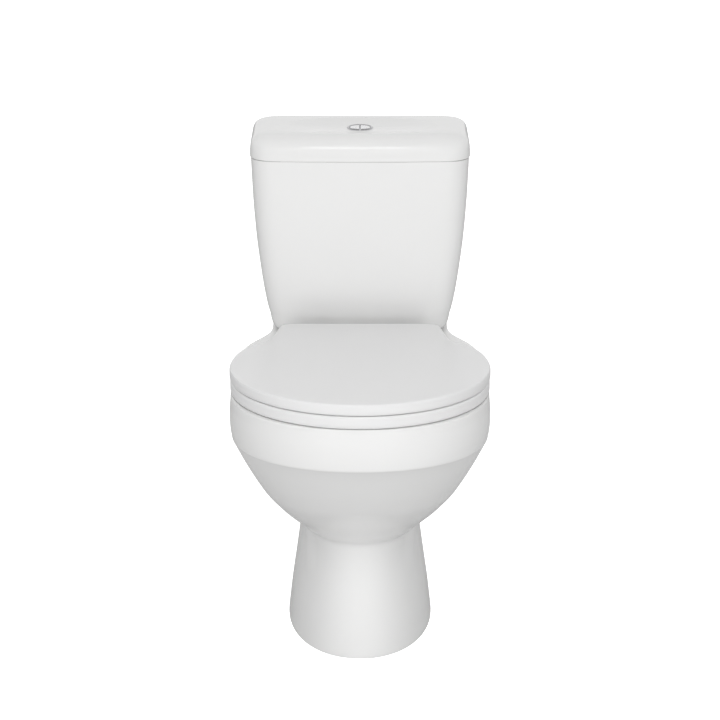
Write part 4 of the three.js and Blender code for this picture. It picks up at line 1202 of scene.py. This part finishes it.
class TOILET_OT_buttons(bpy.types.Operator):
    """Flush buttons: a chromed collar in the lid with two half-round buttons"""

    bl_idname = "toilet.buttons"
    bl_label = "Buttons"

    def execute(self, context):
        low, high = box_mm("button_housing")
        radius, top = high.x, high.z - 1.2
        bore = 15.6
        floor = low.z + 10
        profile = [
            (bore - 1, low.z), (17.6, low.z), (17.6, top - 3.2), (radius - 0.2, top - 3.4),
            (radius, top - 2.6), (radius - 0.9, top - 0.7), (radius - 2.4, top), (bore + 0.9, top - 0.4),
            (bore, top - 1.6), (bore, floor), (4.0, floor), (4.0, floor - 2), (bore - 1, floor - 2),
        ]
        collar = turned_ring("collar", profile, BUTTON_Y, 120, 0.55)
        rods = [
            upright("rod_hole", at.x, at.y, floor - 4, floor + 1, 3.2, sides=32)
            for at in (middle("full_push_rod"), middle("half_push_rod"))
        ]
        collar = cut(collar, *rods)
        # The collar's darkened plate colour is a painted dark outline around the buttons.
        finished("button_collar", collar, FINISHES["chrome"], "pan_and_cistern", ["button_housing"])
        for name, side in (("full", 1), ("half", -1)):
            self.half_button(name, side)
        return {"FINISHED"}

    def half_button(self, name, side):
        """One half-round button with eased edges, a slightly hollow face and a skirt below."""
        low, high = box_mm(f"{name}_flush_button")
        radius = max(abs(low.x), abs(high.x))
        split = min(abs(low.x), abs(high.x))
        top = high.z - 0.9
        reach_angle = math.acos((split + 0.4) / radius)
        arc = np.linspace(-reach_angle, reach_angle, 60)
        outline = np.stack([radius * np.cos(arc), radius * np.sin(arc)], axis=1)
        outline = np.vstack([outline, [(split, radius * 0.9), (split, -radius * 0.9)]])
        outline = softened(even_closed(outline, HALF_COLUMNS), 1.3)

        def row(inset, z):
            flat = inward(outline, inset)
            flat[:, 0] = np.maximum(flat[:, 0], split)
            return np.column_stack([side * flat[:, 0], BUTTON_Y + flat[:, 1], np.full(len(flat), z)])

        centre = (side * radius * 0.45, BUTTON_Y, top - 0.75)
        hollow = pole(*centre, HALF_COLUMNS)
        inner = [(1 - s) * row(1.6, top - 0.05) + s * hollow for s in (0.0, 0.35, 0.7)]
        rows = [
            pole(centre[0], BUTTON_Y, top - 4, HALF_COLUMNS), row(1.6, top - 4), row(1.5, low.z),
            row(0.15, low.z), row(0, top - 1.3), row(0.5, top - 0.35), *inner, hollow,
        ]
        grid = loft(rows, [0.5, 0.4, 0.15, 0.15, 0.35, 0.35, 0.5, 1.5, 2, 2], 0.5)
        finished(
            f"{name}_flush_half", grid_mesh(name, grid), FINISHES["satin"], f"{name}_button",
            [f"{name}_flush_button"],
        )


# ---- Pads, springs and wing nuts made by rule ----
def geometry_tree(name, inputs):
    """Geometry node tree with a geometry input and named sizes."""
    tree = bpy.data.node_groups.new(name, "GeometryNodeTree")
    tree.interface.new_socket("Geometry", in_out="INPUT", socket_type="NodeSocketGeometry")
    for socket, kind, value in inputs:
        made = tree.interface.new_socket(socket, in_out="INPUT", socket_type=kind)
        if value is not None:
            made.default_value = value
    tree.interface.new_socket("Geometry", in_out="OUTPUT", socket_type="NodeSocketGeometry")
    return tree, tree.nodes.new("NodeGroupInput"), tree.nodes.new("NodeGroupOutput")


def closing(tree, geometry, material, result):
    """Ends a tree: instances made real and the material set."""
    real = add(tree, "GeometryNodeRealizeInstances", None, Geometry=geometry)
    smooth = add(tree, "GeometryNodeSetShadeSmooth", None, Geometry=real.outputs[0])
    painted = add(tree, "GeometryNodeSetMaterial", None, Geometry=smooth.outputs[0])
    tree.links.new(material, painted.inputs["Material"])
    tree.links.new(painted.outputs[0], result.inputs[0])


def turned_tree():
    """A profile curve turned around an upright axis and set on every given point."""
    tree, given, result = geometry_tree(
        "Turned Pieces On Points",
        [("Profile", "NodeSocketObject", None), ("Material", "NodeSocketMaterial", None)],
    )
    profile = add(tree, "GeometryNodeObjectInfo", None)
    tree.links.new(given.outputs["Profile"], profile.inputs["Object"])
    on = add(tree, "GeometryNodeInstanceOnPoints", None, Points=given.outputs["Geometry"])
    tree.links.new(profile.outputs["Geometry"], on.inputs["Instance"])
    closing(tree, on.outputs[0], given.outputs["Material"], result)
    return tree


def spring_tree():
    """A round wire wound on every given point."""
    tree, given, result = geometry_tree(
        "Wound Springs",
        [
            ("Radius", "NodeSocketFloat", 3.4 * MM),
            ("Height", "NodeSocketFloat", 10 * MM),
            ("Turns", "NodeSocketFloat", 5.0),
            ("Wire", "NodeSocketFloat", 0.5 * MM),
            ("Material", "NodeSocketMaterial", None),
        ],
    )
    coil = add(tree, "GeometryNodeCurveSpiral", None, Resolution=28)
    for socket, source in (
        ("Start Radius", "Radius"), ("End Radius", "Radius"), ("Height", "Height"), ("Rotations", "Turns")
    ):
        tree.links.new(given.outputs[source], coil.inputs[socket])
    wire = add(tree, "GeometryNodeCurvePrimitiveCircle", {"mode": "RADIUS"}, Resolution=10)
    tree.links.new(given.outputs["Wire"], wire.inputs["Radius"])
    swept = add(tree, "GeometryNodeCurveToMesh", None, Curve=coil.outputs[0], Fill_Caps=True)
    tree.links.new(wire.outputs[0], swept.inputs["Profile Curve"])
    on = add(tree, "GeometryNodeInstanceOnPoints", None, Points=given.outputs["Geometry"])
    tree.links.new(swept.outputs[0], on.inputs["Instance"])
    closing(tree, on.outputs[0], given.outputs["Material"], result)
    return tree


def from_tree(name, tree, places, inputs):
    """Plain mesh that a tree makes from points given in millimetres."""
    points = bpy.data.meshes.new(name)
    points.from_pydata([tuple(c * MM for c in place) for place in places], [], [])
    holder = bpy.data.objects.new(name, points)
    bpy.context.scene.collection.objects.link(holder)
    made_by = holder.modifiers.new("Rule", "NODES")
    made_by.node_group = tree
    sockets = {item.name: item.identifier for item in tree.interface.items_tree if item.in_out == "INPUT"}
    for key, value in inputs.items():
        made_by[sockets[key]] = value
    bpy.context.view_layer.update()
    graph = bpy.context.evaluated_depsgraph_get()
    mesh = bpy.data.meshes.new_from_object(holder.evaluated_get(graph))
    holder.modifiers.clear()
    bpy.data.objects.remove(holder)
    if not len(mesh.polygons):
        raise RuntimeError(f"{name}: its tree made no faces")
    return cleaned(mesh)


def repeated(name, shape, places, finish):
    """A turned shape repeated at places by the tree for turned pieces."""
    model = bpy.data.objects.new(f"{name}_model", shape)
    bpy.context.scene.collection.objects.link(model)
    mesh = from_tree(
        name, bpy.data.node_groups["Turned Pieces On Points"], places, {"Profile": model, "Material": finish}
    )
    bpy.data.objects.remove(model)
    return mesh


class TOILET_OT_buffers(bpy.types.Operator):
    """Buffers: soft domed pads under the seat and under the lid"""

    bl_idname = "toilet.buffers"
    bl_label = "Buffers"

    def execute(self, context):
        for title, body, nodes in (
            ("seat_pads", "seat", [f"seat_buffer_{place}" for place in BUFFERS]),
            ("lid_pads", "lid", [f"lid_buffer_{name}" for name, _ in SIDES]),
        ):
            low, high = box_mm(nodes[0])
            radius, tall = (high.x - low.x) / 2, high.z - low.z
            profile = [(0, 0), (radius * 0.72, 0), (radius * 0.93, tall * 0.22), (radius, tall * 0.55),
                       (radius, tall), (0, tall)]
            pad = lathe("pad", profile, softness=0.35, spacing=0.6, sides=64)
            places = [(middle(n).x, middle(n).y, low.z) for n in nodes]
            pads = repeated(title, pad, places, FINISHES["buffer"])
            finished(title, pads, FINISHES["buffer"], body, nodes)
        return {"FINISHED"}


class TOILET_OT_springs(bpy.types.Operator):
    """Button springs: fine wire wound around each push rod"""

    bl_idname = "toilet.springs"
    bl_label = "Button Springs"

    def execute(self, context):
        for name in ("full", "half"):
            node = f"{name}_button_spring"
            low, high = box_mm(node)
            wire = 0.5
            at = middle(f"{name}_push_rod")
            sizes = {
                "Radius": 3.4 * MM, "Height": (high.z - low.z - 2 * wire) * MM, "Turns": 4.0,
                "Wire": wire * MM, "Material": FINISHES["steel"],
            }
            mesh = from_tree(node, bpy.data.node_groups["Wound Springs"], [(at.x, at.y, low.z + wire)], sizes)
            finished(f"{name}_return_spring", mesh, FINISHES["steel"], f"{name}_button", [node])
        return {"FINISHED"}


class TOILET_OT_wing_nuts(bpy.types.Operator):
    """Wing nuts and caps: under the deck for hinges and coupling bolts, and over the floor screws"""

    bl_idname = "toilet.wing_nuts"
    bl_label = "Wing Nuts and Caps"

    def execute(self, context):
        for kind, slot in (("hinge", "white_plastic"), ("coupling", "steel")):
            nodes = [f"{kind}_wing_nut_{name}" for name, _ in SIDES]
            low, high = box_mm(nodes[1])
            tall = high.z - low.z
            wings = [block("wing", a, b, -1.7, 1.7, 0, tall - 2, 1.6) for a, b in ((-18, -6.5), (6.5, 18))]
            places = [(middle(n).x, middle(n).y, low.z) for n in nodes]
            mesh = repeated(f"{kind}_nuts", joined(hub_ring(tall), *wings), places, FINISHES[slot])
            finished(f"{kind}_nuts", mesh, FINISHES[slot], "pan_and_cistern", nodes)
        nodes = [f"floor_screw_cap_{name}" for name, _ in SIDES]
        low, high = box_mm(nodes[1])
        tall = high.z - low.z
        profile = [(0, tall), (6.5, tall - 0.4), (9.3, tall * 0.55), (10, 0), (7.5, 0), (7.5, 4.6), (0, 4.6)]
        cap = lathe("cap", profile, softness=0.5, spacing=0.8, sides=64)
        places = [(middle(n).x, middle(n).y, low.z) for n in nodes]
        white = FINISHES["white_plastic"]
        mesh = repeated("floor_screw_covers", cap, places, white)
        finished("floor_screw_covers", mesh, white, "pan_and_cistern", nodes)
        return {"FINISHED"}


def hub_ring(tall):
    """Hub of a wing nut with its bore."""
    profile = [(4.3, 2), (9.2, 2), (9.4, tall * 0.5), (7.4, tall), (4.3, tall)]
    return turned_ring("hub", profile, 0, 48, 0.7)


# ---- Fittings that keep the frame's shape ----
class TOILET_OT_fittings(bpy.types.Operator):
    """Fittings: valves, levers, rods, seals, bolts and screws, each with its own finish"""

    bl_idname = "toilet.fittings"
    bl_label = "Fittings"

    def execute(self, context):
        for part in frame["record"]["subparts"]:
            node = frame["nodes"][part["node"]]
            finish = FINISHES[part["material_slot"]]
            node.data.materials.clear()
            node.data.materials.append(finish)
        return {"FINISHED"}


# ---- Stage ----
class TOILET_OT_stage(bpy.types.Operator):
    """Stage: pale floor, even light all round, soft front lights, a spot on the pedestal and the camera"""

    bl_idname = "toilet.stage"
    bl_label = "Stage"

    def execute(self, context):
        scene = context.scene
        settings = scene.toilet_stage
        scene.view_settings.view_transform = "Standard"
        self.floor()
        scene.world = self.studio(settings.sky, settings.backdrop)
        middle_height, cistern_top = (0, 0, 0.3), (0, 0.14, 0.7)
        for name, side in SIDES:
            self.panel_light(f"low_{name}", (side * 1.6, -3.9, 0.55), middle_height, 1.1, settings.low_power)
            high = (side * 2.2, -1.7, 3.4)
            self.panel_light(f"side_glint_{name}", high, cistern_top, 0.25, settings.side_glint_power, True)
        self.panel_light("key", (0, -3.3, 3.0), middle_height, 1.6, settings.key_power)
        self.panel_light("glint", (0, -1.9, 3.1), cistern_top, 0.7, settings.glint_power, True)
        self.foot_light(settings.foot_power)
        camera = bpy.data.cameras.new("camera")
        camera.sensor_width = 36
        camera.lens = settings.lens
        view = bpy.data.objects.new("camera", camera)
        view.location = (0, -settings.camera_back, settings.camera_height)
        view.rotation_euler = (math.pi / 2 - settings.pitch, 0, 0)
        scene.collection.objects.link(view)
        scene.camera = view
        return {"FINISHED"}

    def studio(self, front, back):
        """Even light all round that is brighter behind the object, as with a lit backdrop."""
        world = bpy.data.worlds.new("Studio")
        world.use_nodes = True
        tree = world.node_tree
        direction = add(tree, "ShaderNodeTexCoord").outputs["Generated"]
        way = add(tree, "ShaderNodeSeparateXYZ", None, Vector=direction)
        strength = remap(tree, way.outputs["Y"], -0.35, 0.6, front, back)
        tree.links.new(strength, tree.nodes["Background"].inputs["Strength"])
        tree.nodes["Background"].inputs["Color"].default_value = (1, 1, 1, 1)
        return world

    def floor(self):
        """Pale floor that stays bright behind the object."""
        size = 30  # metres from the middle to each side
        mesh = bpy.data.meshes.new("floor")
        corners = [(-size, -size, 0), (size, -size, 0), (size, size, 0), (-size, size, 0)]
        mesh.from_pydata(corners, [], [(0, 1, 2, 3)])
        pale = bpy.data.materials.new("pale_floor")
        pale.use_nodes = True
        shader = pale.node_tree.nodes["Principled BSDF"]
        shader.inputs["Base Color"].default_value = (0.66, 0.66, 0.66, 1)
        shader.inputs["Roughness"].default_value = 0.9
        shader.inputs["Specular IOR Level"].default_value = 0.0
        seen = pale.node_tree.nodes.new("ShaderNodeLightPath")
        shader.inputs["Emission Color"].default_value = (1, 1, 1, 1)
        glow = maths(pale.node_tree, "MULTIPLY", seen.outputs["Is Camera Ray"], 0.95)
        pale.node_tree.links.new(glow, shader.inputs["Emission Strength"])
        mesh.materials.append(pale)
        floor = bpy.data.objects.new("floor", mesh)
        bpy.context.scene.collection.objects.link(floor)

    def foot_light(self, power):
        """Narrow soft spot that keeps the pedestal bright under the bowl."""
        lamp = bpy.data.lights.new("foot", "SPOT")
        lamp.spot_size = math.radians(7)
        lamp.spot_blend = 0.8
        lamp.shadow_soft_size = 0.1
        lamp.energy = power
        self.stand(lamp, (0, -2.5, 0.12), (0, -0.13, 0.08), False)

    def panel_light(self, name, place, aim, size, power, glossy=False):
        """Square soft light; a glossy one also shows as a highlight."""
        lamp = bpy.data.lights.new(name, "AREA")
        lamp.shape = "SQUARE"
        lamp.size = size
        lamp.energy = power
        self.stand(lamp, place, aim, glossy)

    def stand(self, lamp, place, aim, glossy):
        """Puts a lamp in its place, facing a point."""
        holder = bpy.data.objects.new(lamp.name, lamp)
        holder.location = place
        holder.rotation_euler = (Vector(aim) - Vector(place)).to_track_quat("-Z", "Y").to_euler()
        holder.visible_glossy = glossy
        bpy.context.scene.collection.objects.link(holder)


STEPS = (
    "stage", "fittings", "pan", "cistern", "cistern_lid", "seat", "seat_lid", "hinges", "buttons", "buffers",
    "springs", "wing_nuts",
)


class TOILET_PT_panel(bpy.types.Panel):
    """Lists the steps that build the toilet"""

    bl_idname = "TOILET_PT_panel"
    bl_label = "Close Coupled Toilet"
    bl_space_type = "VIEW_3D"
    bl_region_type = "UI"
    bl_category = "Toilet"

    def draw(self, context):
        for step in STEPS:
            self.layout.operator(f"toilet.{step}")


GROUPS = {
    "toilet_pan": ToiletPanSettings,
    "toilet_cistern": ToiletCisternSettings,
    "toilet_seat": ToiletSeatSettings,
    "toilet_finish": ToiletFinishSettings,
    "toilet_stage": ToiletStageSettings,
}
CLASSES = (
    *GROUPS.values(),
    TOILET_OT_stage,
    TOILET_OT_fittings,
    TOILET_OT_pan,
    TOILET_OT_cistern,
    TOILET_OT_cistern_lid,
    TOILET_OT_seat,
    TOILET_OT_seat_lid,
    TOILET_OT_hinges,
    TOILET_OT_buttons,
    TOILET_OT_buffers,
    TOILET_OT_springs,
    TOILET_OT_wing_nuts,
    TOILET_PT_panel,
)


def register():
    for item in CLASSES:
        bpy.utils.register_class(item)
    for name, group in GROUPS.items():
        setattr(bpy.types.Scene, name, bpy.props.PointerProperty(type=group))


def unregister():
    for name in GROUPS:
        delattr(bpy.types.Scene, name)
    for item in reversed(CLASSES):
        bpy.utils.unregister_class(item)


def main():
    register()
    make_finishes(bpy.context.scene.toilet_finish)
    turned_tree()
    spring_tree()
    for step in STEPS:
        getattr(bpy.ops.toilet, step)()


if __name__ == "__main__":
    main()
